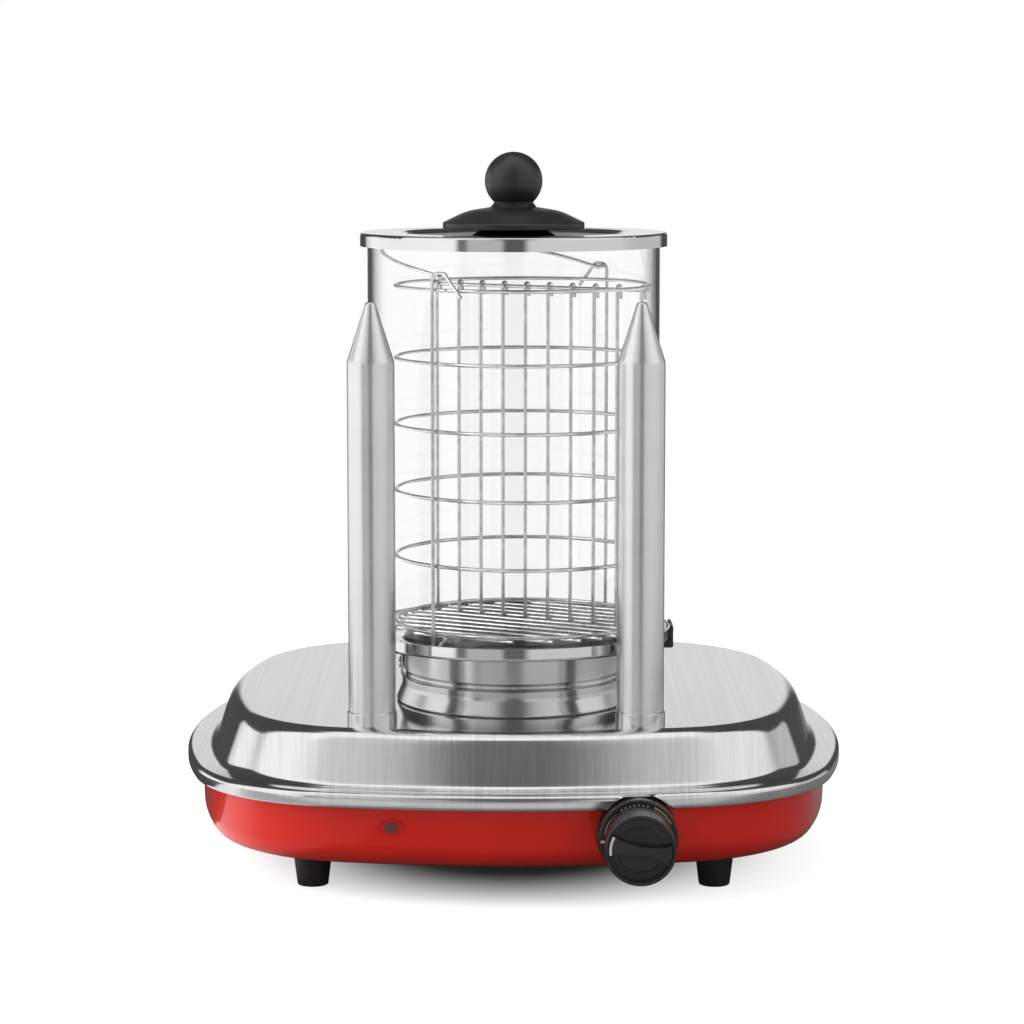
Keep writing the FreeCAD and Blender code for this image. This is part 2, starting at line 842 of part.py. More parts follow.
def thermostat_shaft():
    """Shaft from the thermostat into the knob."""
    back = boss_end_y + shaft_blind_depth - rest_gap
    front = knob_back_y - knob_bore_depth() + rest_gap
    return rod_along_y(shaft_radius, front, back, dial_x, dial_z)


def grip_corner(radius, half_height, side, level):
    """Corner of the bow-tie grip in the knob's face."""
    along = sqrt(radius ** 2 - half_height ** 2)
    return Vector(side * along, level * half_height, 0)


def grip_bar():
    """Bow-tie grip on the knob's face, drawn flat with its height along Z."""
    left_top = grip_corner(grip_radius, grip_end_half_height, -1, 1)
    right_top = grip_corner(grip_radius, grip_end_half_height, 1, 1)
    left_bottom = grip_corner(grip_radius, grip_end_half_height, -1, -1)
    right_bottom = grip_corner(grip_radius, grip_end_half_height, 1, -1)
    waist = Vector(0, grip_waist_half_height, 0)
    edges = [Part.Arc(left_top, waist, right_top).toShape(),
             Part.Arc(right_top, Vector(grip_radius, 0, 0), right_bottom).toShape(),
             Part.Arc(right_bottom, -waist, left_bottom).toShape(),
             Part.Arc(left_bottom, Vector(-grip_radius, 0, 0), left_top).toShape()]
    return Part.Face(Part.Wire(edges))


def place_on_knob(solid):
    """Turn a piece drawn flat on the knob's face to its place."""
    solid.rotate(Vector(0, 0, 0), Z_AXIS, -grip_tilt)
    solid.rotate(Vector(0, 0, 0), X_AXIS, QUARTER_TURN)
    solid.translate(Vector(dial_x, knob_back_y, dial_z))
    return solid


def control_knob():
    """Knob with a recessed face, a ring groove and a bow-tie grip."""
    face = knob_length - knob_recess
    rim_inner = knob_front_radius - knob_rim_width
    groove_inner = knob_groove_radius - knob_groove_width
    bore = shaft_radius + bearing_gap / 2
    ceiling = face - knob_face_thickness
    body = turned([(0.0, ceiling), (bore, ceiling), (bore, knob_hub_setback),
                   (knob_hub_radius, knob_hub_setback), (knob_hub_radius, ceiling),
                   (knob_front_radius - knob_wall, ceiling), (knob_back_radius - knob_wall, 0.0),
                   (knob_back_radius, 0.0),
                   (knob_front_radius, knob_length, knob_rim_rounding),
                   (rim_inner, knob_length, knob_rim_rounding / 2), (rim_inner, face),
                   (knob_groove_radius, face), (knob_groove_radius, face - knob_groove_depth),
                   (groove_inner, face - knob_groove_depth), (groove_inner, face),
                   (0.0, face - knob_bowl_depth)])
    bar = grip_bar()
    bar.translate(Vector(0, 0, face - 2 * knob_bowl_depth))
    bar = bar.extrude(Vector(0, 0, grip_height + 2 * knob_bowl_depth))
    return place_on_knob(joined([body, bar]))


def knob_pointer():
    """Pale stripe across the pointing end of the grip."""
    low = knob_length - knob_recess + grip_height
    bar = grip_bar()
    bar.translate(Vector(0, 0, low))
    bar = bar.extrude(Vector(0, 0, pointer_thickness))
    high = low + cut_margin
    bar = bar.cut(disc(grip_radius - pointer_width, low - cut_margin, high))
    return place_on_knob(bar.common(block(-grip_radius, 0, -grip_radius, grip_radius, 0, high)))


def knob_clip():
    """Spring ring round the split hub of the knob."""
    outer = knob_hub_radius + clip_thickness
    low = 2 * knob_hub_setback
    ring = disc(outer, low, low + clip_width).cut(disc(knob_hub_radius, low, low + clip_width))
    return place_on_knob(ring.cut(block(0, outer, -clip_thickness, clip_thickness, 0, low + clip_width)))


# ---- Bun spikes
def spike_places():
    """X of each spike."""
    return {"left": spike_shift - spike_half_spacing, "right": spike_shift + spike_half_spacing}


def spike_tube(x):
    """Hollow steel spike, pointed at the top, with a tail through the deck."""
    top = deck_z + spike_height
    cone = top - spike_cone_height
    inner = spike_radius - spike_wall
    inner_tip = spike_tip_radius - spike_wall
    inner_top = top - spike_tip_wall
    return turned([(0.0, top), (spike_tip_radius, top, spike_tip_rounding),
                   (spike_radius, cone, spike_shoulder_rounding),
                   (spike_radius, deck_z - spike_tail), (inner, deck_z - spike_tail),
                   (inner, cone), (inner_tip, inner_top), (0.0, inner_top)],
                  x, spike_y)


def spike_collar(x):
    """Thin steel collar round the foot of a spike."""
    inner = spike_radius + bearing_gap
    outer = inner + collar_wall
    return turned([(inner, deck_z), (outer, deck_z),
                   (outer, deck_z + collar_height, collar_rounding),
                   (inner, deck_z + collar_height)], x, spike_y)


def spike_nut(x):
    """Flat nut that pulls a spike down on the deck."""
    high = deck_under_z - bearing_gap
    nut = hexagon(spike_nut_radius, high - spike_nut_height, high, x, spike_y)
    return nut.cut(disc(spike_radius, 0, deck_z, x, spike_y))


def cartridge_bottom_z():
    """Lower end of the heating cartridges in the spikes."""
    return deck_z - cartridge_tail


def spike_heater(x):
    """Heating cartridge inside a spike."""
    low = cartridge_bottom_z()
    high = low + cartridge_length
    return turned([(0.0, low), (cartridge_radius, low),
                   (cartridge_radius, high, cartridge_rounding), (0.0, high)], x, spike_y)


def spike_insulator(x):
    """Ceramic plug between a spike's tail and its cartridge."""
    outer = spike_radius - spike_wall
    inner = cartridge_radius
    return turned([(inner, deck_z - spike_tail), (outer, deck_z - spike_tail),
                   (outer, deck_z), (inner, deck_z)], x, spike_y)


# ---- Water boiler
def boiler_pan():
    """Drawn steel pan with a flared foot, a groove and the tray that carries the glass."""
    throat = (boiler_upper_radius, flange_z - boiler_sheet, tray_throat_rounding)
    path = [(tray_radius, flange_z + tray_lip_height),
            (tray_radius, flange_z - boiler_sheet, tray_rounding),
            throat,
            (boiler_upper_radius, deck_z + groove_top, groove_rounding / 2),
            (groove_radius, deck_z + groove_top - groove_slope, groove_rounding),
            (groove_radius, deck_z + groove_bottom + groove_slope, groove_rounding),
            (boiler_lower_radius, deck_z + groove_bottom, groove_rounding / 2),
            (boiler_lower_radius, deck_z + boiler_flare_height, boiler_flare_rounding),
            (boiler_foot_radius, deck_z, boiler_foot_rounding),
            (0.0, deck_z)]
    pan = turned(sheet_outline(path, boiler_sheet), 0.0, tower_y)
    holes = [Part.makeCylinder(rivet_radius + bearing_gap, 2 * tray_radius,
                               Vector(-tray_radius, tower_y + y, deck_z + rivet_height), X_AXIS)
             for y in rivet_rows()]
    return pan.cut(holes)


def rivet_rows():
    """Places of the rivets across each grip bracket."""
    return (-rivet_spacing / 2, rivet_spacing / 2)


def glass_seal():
    """Flat silicone ring that the glass stands on."""
    inner = glass_inner_radius - seal_margin
    outer = glass_radius + seal_outer_margin
    return turned([(inner, flange_z), (outer, flange_z), (outer, seal_top_z, seal_rounding),
                   (inner, seal_top_z, seal_rounding)], 0.0, tower_y)


def bracket_face_x():
    """Outer face of a grip bracket, beside the pan's wall."""
    return boiler_upper_radius + bearing_gap + bracket_sheet


def grip_floor_z():
    """Underside of the boiler's side grips."""
    return flange_z - boiler_sheet - rest_gap - boiler_grip_height


def boiler_grip_right():
    """Heatproof grip below the tray, turned up outside its lip, on its bracket's shelf."""
    low = grip_floor_z()
    inner = bracket_face_x() + bearing_gap
    outer = tray_radius + boiler_grip_proud
    half = boiler_grip_width / 2
    high = low + boiler_grip_height
    grip = block(inner, outer, tower_y - half, tower_y + half, low, high + boiler_grip_upstand)
    edges = [edge for edge in grip.Edges
             if edge.BoundBox.XMin > outer - boiler_grip_rounding and edge.Length > boiler_grip_upstand]
    grip = grip.makeFillet(boiler_grip_rounding, edges)
    return grip.cut(disc(tray_radius + bearing_gap, high, flange_z + 2 * boiler_grip_upstand,
                         0.0, tower_y))


def boiler_grip_bracket_right():
    """Angle bracket from the pan's wall out under a grip."""
    face = bracket_face_x()
    inner = face - bracket_sheet
    shelf_top = grip_floor_z()
    half = bracket_width / 2
    low = deck_z + bracket_foot
    plate = block(inner, face, tower_y - half, tower_y + half, low, shelf_top)
    shelf = block(inner, face + bracket_shelf, tower_y - half, tower_y + half,
                  shelf_top - bracket_sheet, shelf_top)
    holes = [Part.makeCylinder(rivet_radius + bearing_gap, 3 * bracket_sheet,
                               Vector(inner - bracket_sheet, tower_y + y, deck_z + rivet_height),
                               X_AXIS) for y in rivet_rows()]
    return joined([plate, shelf]).cut(holes)


def boiler_rivet_right(y):
    """Rivet through the bracket and the pan's wall."""
    face = bracket_face_x()
    rivet = turned([(0.0, -rivet_shank), (rivet_radius, -rivet_shank),
                    (rivet_radius, 0.0), (rivet_head_radius, 0.0),
                    (rivet_head_radius, rivet_head_height, rivet_head_rounding),
                    (0.0, rivet_head_height)])
    rivet.rotate(Vector(0, 0, 0), Y_AXIS, QUARTER_TURN)
    rivet.translate(Vector(face, tower_y + y, deck_z + rivet_height))
    return rivet


def mirrored(solid):
    """The same piece on the other side."""
    return solid.mirror(Vector(0, 0, 0), X_AXIS)


# ---- Glass tower and lid
def glass_cylinder():
    """Open glass cylinder with softened edges."""
    rounding = glass_edge_rounding
    return turned([(glass_inner_radius, glass_z, rounding), (glass_radius, glass_z, rounding),
                   (glass_radius, glass_top_z, rounding),
                   (glass_inner_radius, glass_top_z, rounding)], 0.0, tower_y)


def lid_plate():
    """Steel lid: hanging band, flat ring, shallow recess and a raised boss for the knob."""
    path = [(lid_screw_radius + bolt_gap, boss_z),
            (lid_boss_radius, boss_z, lid_boss_rounding + lid_sheet),
            (lid_boss_radius + lid_boss_slope, recess_z, lid_boss_rounding),
            (lid_recess_radius, recess_z, lid_recess_rounding),
            (lid_recess_radius + lid_recess_slope, lid_z, lid_recess_rounding + lid_sheet),
            (lid_radius, lid_z, lid_rounding),
            (lid_radius, lid_z - lid_band_height)]
    return turned(sheet_outline(path, lid_sheet), 0.0, tower_y)


def lid_gasket():
    """Silicone ring below the lid."""
    outer = lid_radius - lid_sheet - gasket_inset
    inner = outer - gasket_width
    return turned([(inner, gasket_z), (outer, gasket_z), (outer, lid_under_z),
                   (inner, lid_under_z)], 0.0, tower_y)


def lid_knob():
    """One-piece lid knob: plinth, domed skirt, neck and ball."""
    ball_z = plinth_top_z + ball_height
    neck_z = dome_top_z + neck_height
    ball_low = ball_z - sqrt(ball_radius ** 2 - neck_top_radius ** 2)
    bore_top = boss_z + lid_screw_depth
    skirt = profile_face([(0.0, boss_z), (knob_plinth_radius, boss_z),
                          (knob_plinth_radius, plinth_top_z),
                          (dome_edge_radius, plinth_top_z, dome_edge_rounding / 2),
                          (dome_edge_radius, plinth_top_z + dome_edge_height, dome_edge_rounding),
                          ((dome_edge_radius + neck_base_radius) / 2, dome_top_z - dome_rise / 4,
                           dome_rounding),
                          (neck_base_radius, dome_top_z, neck_rounding),
                          (neck_top_radius, neck_z), (neck_top_radius, ball_low + ball_sink),
                          (0.0, ball_z)])
    knob = skirt.revolve(Vector(0, 0, 0), Z_AXIS, FULL_TURN)
    knob = knob.fuse(Part.makeSphere(ball_radius, Vector(0, 0, ball_z)))
    knob = knob.cut(disc(lid_screw_radius, boss_z - cut_margin, bore_top))
    knob.translate(Vector(0, tower_y, 0))
    return knob


def lid_knob_screw():
    """Screw from below into the lid knob."""
    head_top = boss_z - lid_sheet - lid_washer_thickness
    end = boss_z + lid_screw_depth - lid_screw_end_gap
    return turned([(0.0, head_top - lid_screw_head_height),
                   (lid_screw_head_radius, head_top - lid_screw_head_height, lid_screw_rounding),
                   (lid_screw_head_radius, head_top), (lid_screw_radius, head_top),
                   (lid_screw_radius, end), (0.0, end)], 0.0, tower_y)


def lid_knob_washer():
    """Washer between the lid and the head of its screw."""
    top = boss_z - lid_sheet
    washer = disc(lid_washer_radius, top - lid_washer_thickness, top, 0.0, tower_y)
    return washer.cut(disc(lid_screw_radius + bolt_gap, 0, top, 0.0, tower_y))


# ---- Sausage basket
def basket_point(along, across, z, turn):
    """A place in the basket, in a frame turned about the basket's axis."""
    angle = radians(turn)
    return Vector(basket_shift + along * cos(angle) - across * sin(angle),
                  tower_y + along * sin(angle) + across * cos(angle), z)


def straight_wire(start, end):
    """Straight basket wire."""
    return Part.makeCylinder(wire_radius, (end - start).Length, start, end - start)


def ring_levels():
    """Heights of the basket's rings."""
    levels = [bottom_ring_z + ring_pitch * index for index in range(ring_count)]
    return levels + [top_ring_z]


def basket_rings():
    """Round rings of the basket."""
    return group([Part.makeTorus(ring_radius, wire_radius, Vector(basket_shift, tower_y, z))
                  for z in ring_levels()])


def floor_bar_offset(index):
    """Distance of a floor bar from the basket's middle."""
    return (index - (floor_bar_count - 1) / 2) * floor_bar_pitch


def divider_offset():
    """The divider wires stand against the front side of one floor bar."""
    return floor_bar_offset(divider_bar_index) - wire_step


def basket_floor_bars():
    """Parallel bars below the lowest ring, their ends clipped just outside it."""
    bars = []
    for index in range(floor_bar_count):
        offset = floor_bar_offset(index)
        half = sqrt(ring_radius ** 2 - offset ** 2) + floor_bar_overhang
        bars.append(straight_wire(basket_point(-half, offset, floor_bar_z, divider_turn),
                                  basket_point(half, offset, floor_bar_z, divider_turn)))
    return group(bars)


def basket_top_bar():
    """Bar below the top ring that the divider wires hook over."""
    offset = divider_offset() + wire_step
    half = sqrt(ring_radius ** 2 - offset ** 2) + floor_bar_overhang / 2
    return straight_wire(basket_point(-half, offset, top_bar_z, divider_turn),
                         basket_point(half, offset, top_bar_z, divider_turn))


def basket_divider_wires():
    """Upright wires across the basket, each hooked over the top bar."""
    wires = []
    front = divider_offset()
    back = front + 2 * wire_step
    peak = top_bar_z + wire_step
    low = floor_bar_z - wire_radius
    for index in range(divider_wire_count):
        along = (index - (divider_wire_count - 1) / 2) * divider_wire_pitch
        places = [(front, low), (front, peak), (back, peak), (back, top_bar_z - hook_tail)]
        points = [basket_point(along, across, z, divider_turn) for across, z in places]
        wires.append(bent_rod(points, [hook_bend_radius] * 2, wire_radius))
    return group(wires)


def side_wire(side):
    """Wire outside the rings: an eye at the top for the bail and a bent foot below."""
    foot_z = flange_z + wire_radius + rest_gap
    inner_z = floor_bar_z - wire_step
    foot_in = side_wire_radius - foot_wire_flat
    inner = foot_in - foot_wire_rise_run
    places = [(side_wire_radius, eye_half_width + eye_tail_spread / 2, eye_z - eye_tail_drop),
              (side_wire_radius, eye_half_width, eye_z),
              (side_wire_radius, -eye_half_width, eye_z),
              (side_wire_radius, -eye_half_width, foot_z),
              (foot_in, -eye_half_width, foot_z),
              (inner, -eye_half_width, inner_z),
              (inner - foot_wire_inner_run, -eye_half_width, inner_z)]
    points = [basket_point(side * along, side * across, z, side_wire_turn)
              for along, across, z in places]
    bends = [eye_tail_bend_radius, eye_bend_radius] + [foot_wire_bend_radius] * 3
    return bent_rod(points, bends, wire_radius)


def basket_side_wires():
    """The two wires outside the rings."""
    return group([side_wire(1), side_wire(-1)])


def basket_bail():
    """Swinging bail whose ends turn out through the eyes."""
    leg = side_wire_radius - bail_inset
    end = side_wire_radius + bail_stub
    lean = radians(bail_rest_tilt)
    places = [(end, 0.0), (leg, 0.0), (leg, bail_reach), (-leg, bail_reach), (-leg, 0.0), (-end, 0.0)]
    points = [basket_point(along, reach * cos(lean), bail_z + reach * sin(lean), side_wire_turn)
              for along, reach in places]
    bends = [bail_end_bend_radius, bail_corner_radius, bail_corner_radius, bail_end_bend_radius]
    return bent_rod(points, bends, wire_radius)


# ---- Heater below the boiler
def heater_screw_places():
    """Places of the studs that hold the heater plate to the deck."""
    places = []
    for index in range(heater_screw_count):
        turn = radians(heater_screw_first_turn + index * FULL_TURN / heater_screw_count)
        places.append((heater_screw_circle * cos(turn), tower_y + heater_screw_circle * sin(turn)))
    return places


def heater_plate():
    """Cast heating plate, raised into the hole of the deck, with a thin flange below it."""
    flange_under = deck_under_z - heater_flange_thickness
    plate = turned([(0.0, heater_under_z), (heater_radius, heater_under_z),
                    (heater_radius, flange_under), (heater_flange_radius, flange_under),
                    (heater_flange_radius, deck_under_z), (heater_radius, deck_under_z),
                    (heater_radius, heater_top_z, heater_rounding), (0.0, heater_top_z)],
                   0.0, tower_y)
    return plate.cut([disc(heater_screw_radius + bolt_gap, flange_under - cut_margin, deck_z, x, y)
                      for x, y in heater_screw_places()])


def heater_screw(x, y):
    """Stud below the deck with its nut."""
    nut_top = deck_under_z - heater_flange_thickness
    low = deck_under_z - heater_screw_length
    stud = disc(heater_screw_radius, low, deck_under_z, x, y)
    return joined([stud, hexagon(heater_nut_radius, nut_top - heater_nut_height, nut_top, x, y)])


def element_pin_places():
    """Places of the two ends of the heating element."""
    places = []
    for side in (-1, 1):
        turn = radians(QUARTER_TURN + side * element_gap_turn / 2)
        places.append((element_ring_radius * cos(turn), tower_y + element_ring_radius * sin(turn)))
    return places


def element_pin_z():
    """Lower end of the element's pins."""
    return element_z - element_tail - element_pin_length


def heater_element():
    """Sheathed ring element under the plate, its ends turned down to two pins."""
    start = QUARTER_TURN + element_gap_turn / 2
    circle = Part.makeCircle(element_radius, Vector(element_ring_radius, 0, 0), Y_AXIS)
    section = Part.Face(Part.Wire(circle))
    ring = section.revolve(Vector(0, 0, 0), Z_AXIS, FULL_TURN - element_gap_turn)
    ring.rotate(Vector(0, 0, 0), Z_AXIS, start)
    ring.translate(Vector(0, tower_y, element_z))
    pieces = [ring]
    for x, y in element_pin_places():
        pieces.append(Part.makeSphere(element_radius, Vector(x, y, element_z)))
        pieces.append(disc(element_radius, element_z - element_tail, element_z, x, y))
        pieces.append(disc(element_pin_radius, element_pin_z(), element_z, x, y))
    return pieces[0].multiFuse(pieces[1:]).Solids[0]


def bracket_top_z():
    """Top of the strip that presses the element against the plate."""
    return element_z - element_radius - weld_gap


def heater_bracket():
    """Pressed strip across the element, bolted up to the plate."""
    top = bracket_top_z()
    half = heater_bracket_length / 2
    half_width = heater_bracket_width / 2
    strip = block(-half, half, tower_y - half_width, tower_y + half_width,
                  top - heater_bracket_sheet, top)
    return strip.cut(disc(cutout_cap_radius + bolt_gap, 0, deck_z, 0.0, tower_y))


def thermal_cutout():
    """Thermal cut-out pressed on the middle of the plate, its cap through the strip."""
    low = bracket_top_z() - heater_bracket_sheet - rest_gap
    neck = heater_under_z - cutout_height
    return turned([(0.0, low), (cutout_cap_radius, low), (cutout_cap_radius, neck),
                   (cutout_radius, neck), (cutout_radius, heater_under_z), (0.0, heater_under_z)],
                  0.0, tower_y)


# ---- Wiring
def terminal_y():
    """Middle of the terminal block."""
    return base_y + base_half_depth - terminal_from_back


def terminal_pole_x(pole):
    """X of a pole of the terminal block."""
    return (pole - (terminal_pole_count - 1) / 2) * terminal_length / terminal_pole_count


def terminal_block():
    """Ceramic terminal block with a groove between the poles."""
    top = housing_z + terminal_height
    front = terminal_y() - terminal_width / 2
    back = terminal_y() + terminal_width / 2
    body = block(-terminal_length / 2, terminal_length / 2, front, back, housing_z, top)
    for pole in range(1, terminal_pole_count):
        x = (terminal_pole_x(pole) + terminal_pole_x(pole - 1)) / 2
        half = terminal_groove / 2
        body = body.cut(block(x - half, x + half, front, back, top - terminal_groove, top))
    return body


def internal_wires():
    """Insulated leads between the terminals, the thermostat, the heater and the cartridges."""
    front = terminal_y() - terminal_width / 2
    terminal_z = housing_z + terminal_height / 2
    run_z = housing_z + lead_level
    tab_end = boss_end_y + thermostat_depth + thermostat_tab_length
    tab_z = dial_z + thermostat_tab_thickness / 2
    left_tab, right_tab = thermostat_tab_places()
    pins = element_pin_places()
    pin_z = element_pin_z()
    spikes = spike_places()
    left_inset, right_inset = spike_lead_inset
    left_setback, right_setback = spike_lead_setback
    exits = [front - run for run in lead_exits]
    poles = [terminal_pole_x(pole) for pole in range(terminal_pole_count)]
    upper_z = run_z + lead_layer
    to_thermostat = [(poles[3], front, terminal_z), (poles[3], exits[3], terminal_z),
                     (right_tab, front - lead_crossings[1], run_z),
                     (right_tab, tab_end + thermostat_lead_exit, tab_z),
                     (right_tab, tab_end, tab_z)]
    from_thermostat = [(left_tab, tab_end, tab_z),
                       (left_tab, tab_end + heater_lead_exit, tab_z),
                       (pins[0][0] + pin_lead_approach, pins[0][1], upper_z),
                       (pins[0][0], pins[0][1], upper_z),
                       (pins[0][0], pins[0][1], pin_z)]
    to_heater = [(poles[2], front, terminal_z), (poles[2], exits[2], terminal_z),
                 (pins[1][0], pins[1][1], run_z), (pins[1][0], pins[1][1], pin_z)]
    to_left_spike = [(poles[0], front, terminal_z), (poles[0], exits[0], terminal_z),
                     (spikes["left"], front - lead_crossings[0], run_z),
                     (spikes["left"], spike_y, run_z),
                     (spikes["left"], spike_y, cartridge_bottom_z())]
    to_right_spike = [(poles[1], front, terminal_z), (poles[1], exits[1], terminal_z),
                      (spikes["left"] + left_inset, spike_y + left_setback, run_z),
                      (spikes["right"] - right_inset, spike_y + right_setback, upper_z),
                      (spikes["right"], spike_y, run_z + lead_level),
                      (spikes["right"], spike_y, cartridge_bottom_z())]
    routes = [to_thermostat, from_thermostat, to_heater, to_left_spike, to_right_spike]
    leads = []
    for route in routes:
        points = [Vector(*place) for place in route]
        leads.append(bent_rod(points, [lead_bend] * (len(points) - 2), lead_radius))
    return group(leads)


# ---- Cord inlet
def cord_gland():
    """Cord bush in the rear wall."""
    wall = gland_wall_y()
    z = housing_z + gland_height
    flange = gland_flange_thickness
    return turned_forward([(gland_bore_radius, gland_tail), (gland_radius, gland_tail),
                            (gland_radius, -rest_gap), (gland_flange_radius, -rest_gap),
                            (gland_flange_radius, -rest_gap - flange, gland_flange_rounding),
                            (gland_taper_radius, -flange - gland_taper_length, gland_taper_rounding),
                            (gland_bore_radius, -flange - gland_taper_length)],
                           0.0, wall, z)


def cable_clamp():
    """Saddle that holds the cord down on the bottom plate."""
    middle = gland_wall_y() - clamp_from_wall
    front = middle - clamp_depth / 2
    back = middle + clamp_depth / 2
    saddle = block(-clamp_width / 2, clamp_width / 2, front, back,
                   housing_z, housing_z + clamp_arch_radius + clamp_sheet)
    return saddle.cut(rod_along_y(clamp_arch_radius, front, back, 0.0, housing_z))


# ---- All sub-parts
def all_parts():
    """Every sub-part by name."""
    spikes = spike_places()
    parts = {
        "base_housing": base_housing(),
        "bottom_plate": bottom_plate(),
        "top_cover": top_cover(),
        "foot_screws": group([foot_screw(x, y) for _, x, y in foot_places()]),
        "foot_nuts": group([foot_nut(x, y) for _, x, y in foot_places()]),
        "bottom_plate_screws": group([small_screw(x, y, boss_height + cut_margin)
                                      for x, y in boss_places()]),
        "cover_posts": group([cover_post(x, y) for x, y in post_places()]),
        "cover_screws": group([small_screw(x, y, small_screw_length) for x, y in post_places()]),
        "indicator_lens": indicator_lens(),
        "indicator_lamp": indicator_lamp(),
        "dial_plate": dial_plate(),
        "thermostat_body": thermostat_body(),
        "thermostat_nut": thermostat_nut(),
        "thermostat_shaft": thermostat_shaft(),
        "control_knob": control_knob(),
        "knob_pointer": knob_pointer(),
        "knob_clip": knob_clip(),
        "boiler_pan": boiler_pan(),
        "glass_seal": glass_seal(),
        "boiler_grip_right": boiler_grip_right(),
        "boiler_grip_left": mirrored(boiler_grip_right()),
        "boiler_grip_brackets": group([boiler_grip_bracket_right(),
                                       mirrored(boiler_grip_bracket_right())]),
        "boiler_rivets": group([boiler_rivet_right(y) for y in rivet_rows()]
                               + [mirrored(boiler_rivet_right(y)) for y in rivet_rows()]),
        "glass_cylinder": glass_cylinder(),
        "lid_plate": lid_plate(),
        "lid_gasket": lid_gasket(),
        "lid_knob": lid_knob(),
        "lid_knob_screw": lid_knob_screw(),
        "lid_knob_washer": lid_knob_washer(),
        "basket_rings": basket_rings(),
        "basket_floor_bars": basket_floor_bars(),
        "basket_top_bar": basket_top_bar(),
        "basket_divider_wires": basket_divider_wires(),
        "basket_side_wires": basket_side_wires(),
        "basket_bail": basket_bail(),
        "heater_plate": heater_plate(),
        "heater_element": heater_element(),
        "heater_bracket": heater_bracket(),
        "heater_screws": group([heater_screw(x, y) for x, y in heater_screw_places()]),
        "thermal_cutout": thermal_cutout(),
        "terminal_block": terminal_block(),
        "internal_wires": internal_wires(),
        "cord_gland": cord_gland(),
        "cable_clamp": cable_clamp()}
    for name, x, y in foot_places():
        parts["foot_" + name] = foot(x, y)
    for side, x in spikes.items():
        parts["spike_tube_" + side] = spike_tube(x)
        parts["spike_collar_" + side] = spike_collar(x)
        parts["spike_nut_" + side] = spike_nut(x)
        parts["spike_heater_" + side] = spike_heater(x)
        parts["spike_insulator_" + side] = spike_insulator(x)
    return parts


os.makedirs("parts", exist_ok=True)
for part_name, shape in all_parts().items():
    shape.exportStep("parts/" + part_name + ".step")
    box = shape.BoundBox
    print(part_name, len(shape.Solids), shape.isValid(), round(shape.Volume),
          [round(value, 1) for value in (box.XMin, box.XMax, box.YMin, box.YMax, box.ZMin, box.ZMax)])
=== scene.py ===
"""Looks of the hot dog toaster: finishes, small surface detail, light and camera.  Metres, +Z up."""

from math import atan2, ceil, cos, degrees, pi, radians, sin, sqrt, tan

import bmesh
import bpy
from mathutils import Matrix, Vector


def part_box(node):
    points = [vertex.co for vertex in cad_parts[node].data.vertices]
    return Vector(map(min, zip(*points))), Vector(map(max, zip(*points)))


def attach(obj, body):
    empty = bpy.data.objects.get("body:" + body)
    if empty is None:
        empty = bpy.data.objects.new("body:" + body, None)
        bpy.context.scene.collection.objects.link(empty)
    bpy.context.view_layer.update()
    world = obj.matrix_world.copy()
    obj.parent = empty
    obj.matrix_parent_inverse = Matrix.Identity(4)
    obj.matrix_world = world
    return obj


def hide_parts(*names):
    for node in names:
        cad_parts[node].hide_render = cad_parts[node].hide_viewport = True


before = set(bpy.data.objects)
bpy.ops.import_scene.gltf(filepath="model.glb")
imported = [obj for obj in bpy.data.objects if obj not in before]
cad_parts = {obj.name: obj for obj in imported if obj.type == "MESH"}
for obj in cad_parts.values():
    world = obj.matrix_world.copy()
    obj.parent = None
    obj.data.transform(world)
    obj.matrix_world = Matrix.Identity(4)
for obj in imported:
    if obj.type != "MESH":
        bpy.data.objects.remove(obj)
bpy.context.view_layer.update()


def middle_of(node):
    """Middle of a CAD node's box."""
    low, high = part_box(node)
    return (low + high) / 2


# ---- Camera, from the picture's perspective
image_side = 1024
focal_pixels = 3265.55
sensor_width = 36.0
camera_place = (0.0007, -1.801, 0.4125)
camera_drop = 7.108       # degrees below the horizon
camera_turn = 0.0009      # radians to the left
camera_range = 20.0

# ---- Floor
floor_radius = 0.75
floor_corners = 96
seen_floor_tone = 0.6     # as the camera and the glass see it
seen_floor_light = 0.8    # what it adds there to read white
shadow_middle = (0.0, 0.01)
shadow_half_sizes = (0.17, 0.195)
shadow_fade = (0.40, 0.92)  # the floor turns from shaded to plain white between these shares of them
card_side = (-0.14, -0.12)  # a pale card lies on the dark floor left of these places
# How light the card and the open floor are from front to back: (y, value)
card_stops = [(-0.56, 0.35), (-0.50, 0.70), (-0.38, 0.70), (-0.30, 0.35), (-0.15, 0.55), (-0.09, 1.0),
              (0.004, 1.0), (0.008, 0.06)]
open_floor_stops = [(-0.56, 0.36), (-0.50, 0.62), (-0.38, 0.62), (-0.30, 0.22)]

# ---- Room
# Brightness for reflections: (degrees round from the camera's side, value)
low_stops = [(-180, 0.84), (-171, 0.84), (-167, 0.08), (-147, 0.08), (-141, 0.9), (-130, 1.25),
             (-44, 1.25), (-41, 0.20), (-36, 0.20), (-33, 0.62), (-9, 0.62), (-6, 0.14), (7, 0.14),
             (12, 0.85), (85, 0.85), (100, 0.7), (140, 0.65), (146, 0.08), (166, 0.08), (171, 0.84)]
high_stops = [(-180, 0.08), (-107, 0.08), (-98, 1.3), (-60, 1.3), (-44, 0.9), (-22, 0.78), (-10, 0.18),
              (9, 0.16), (24, 0.74), (60, 1.1), (103, 1.1), (111, 0.08)]
# The same for what the glass passes on: white straight behind, and dark beside it, which draws its edges
through_stops = [(-180, 1.0), (-174, 1.0), (-168, 0.10)] + low_stops[3:-2] + [(168, 0.10), (174, 1.0)]
full_turn = (-180.0, 180.0)
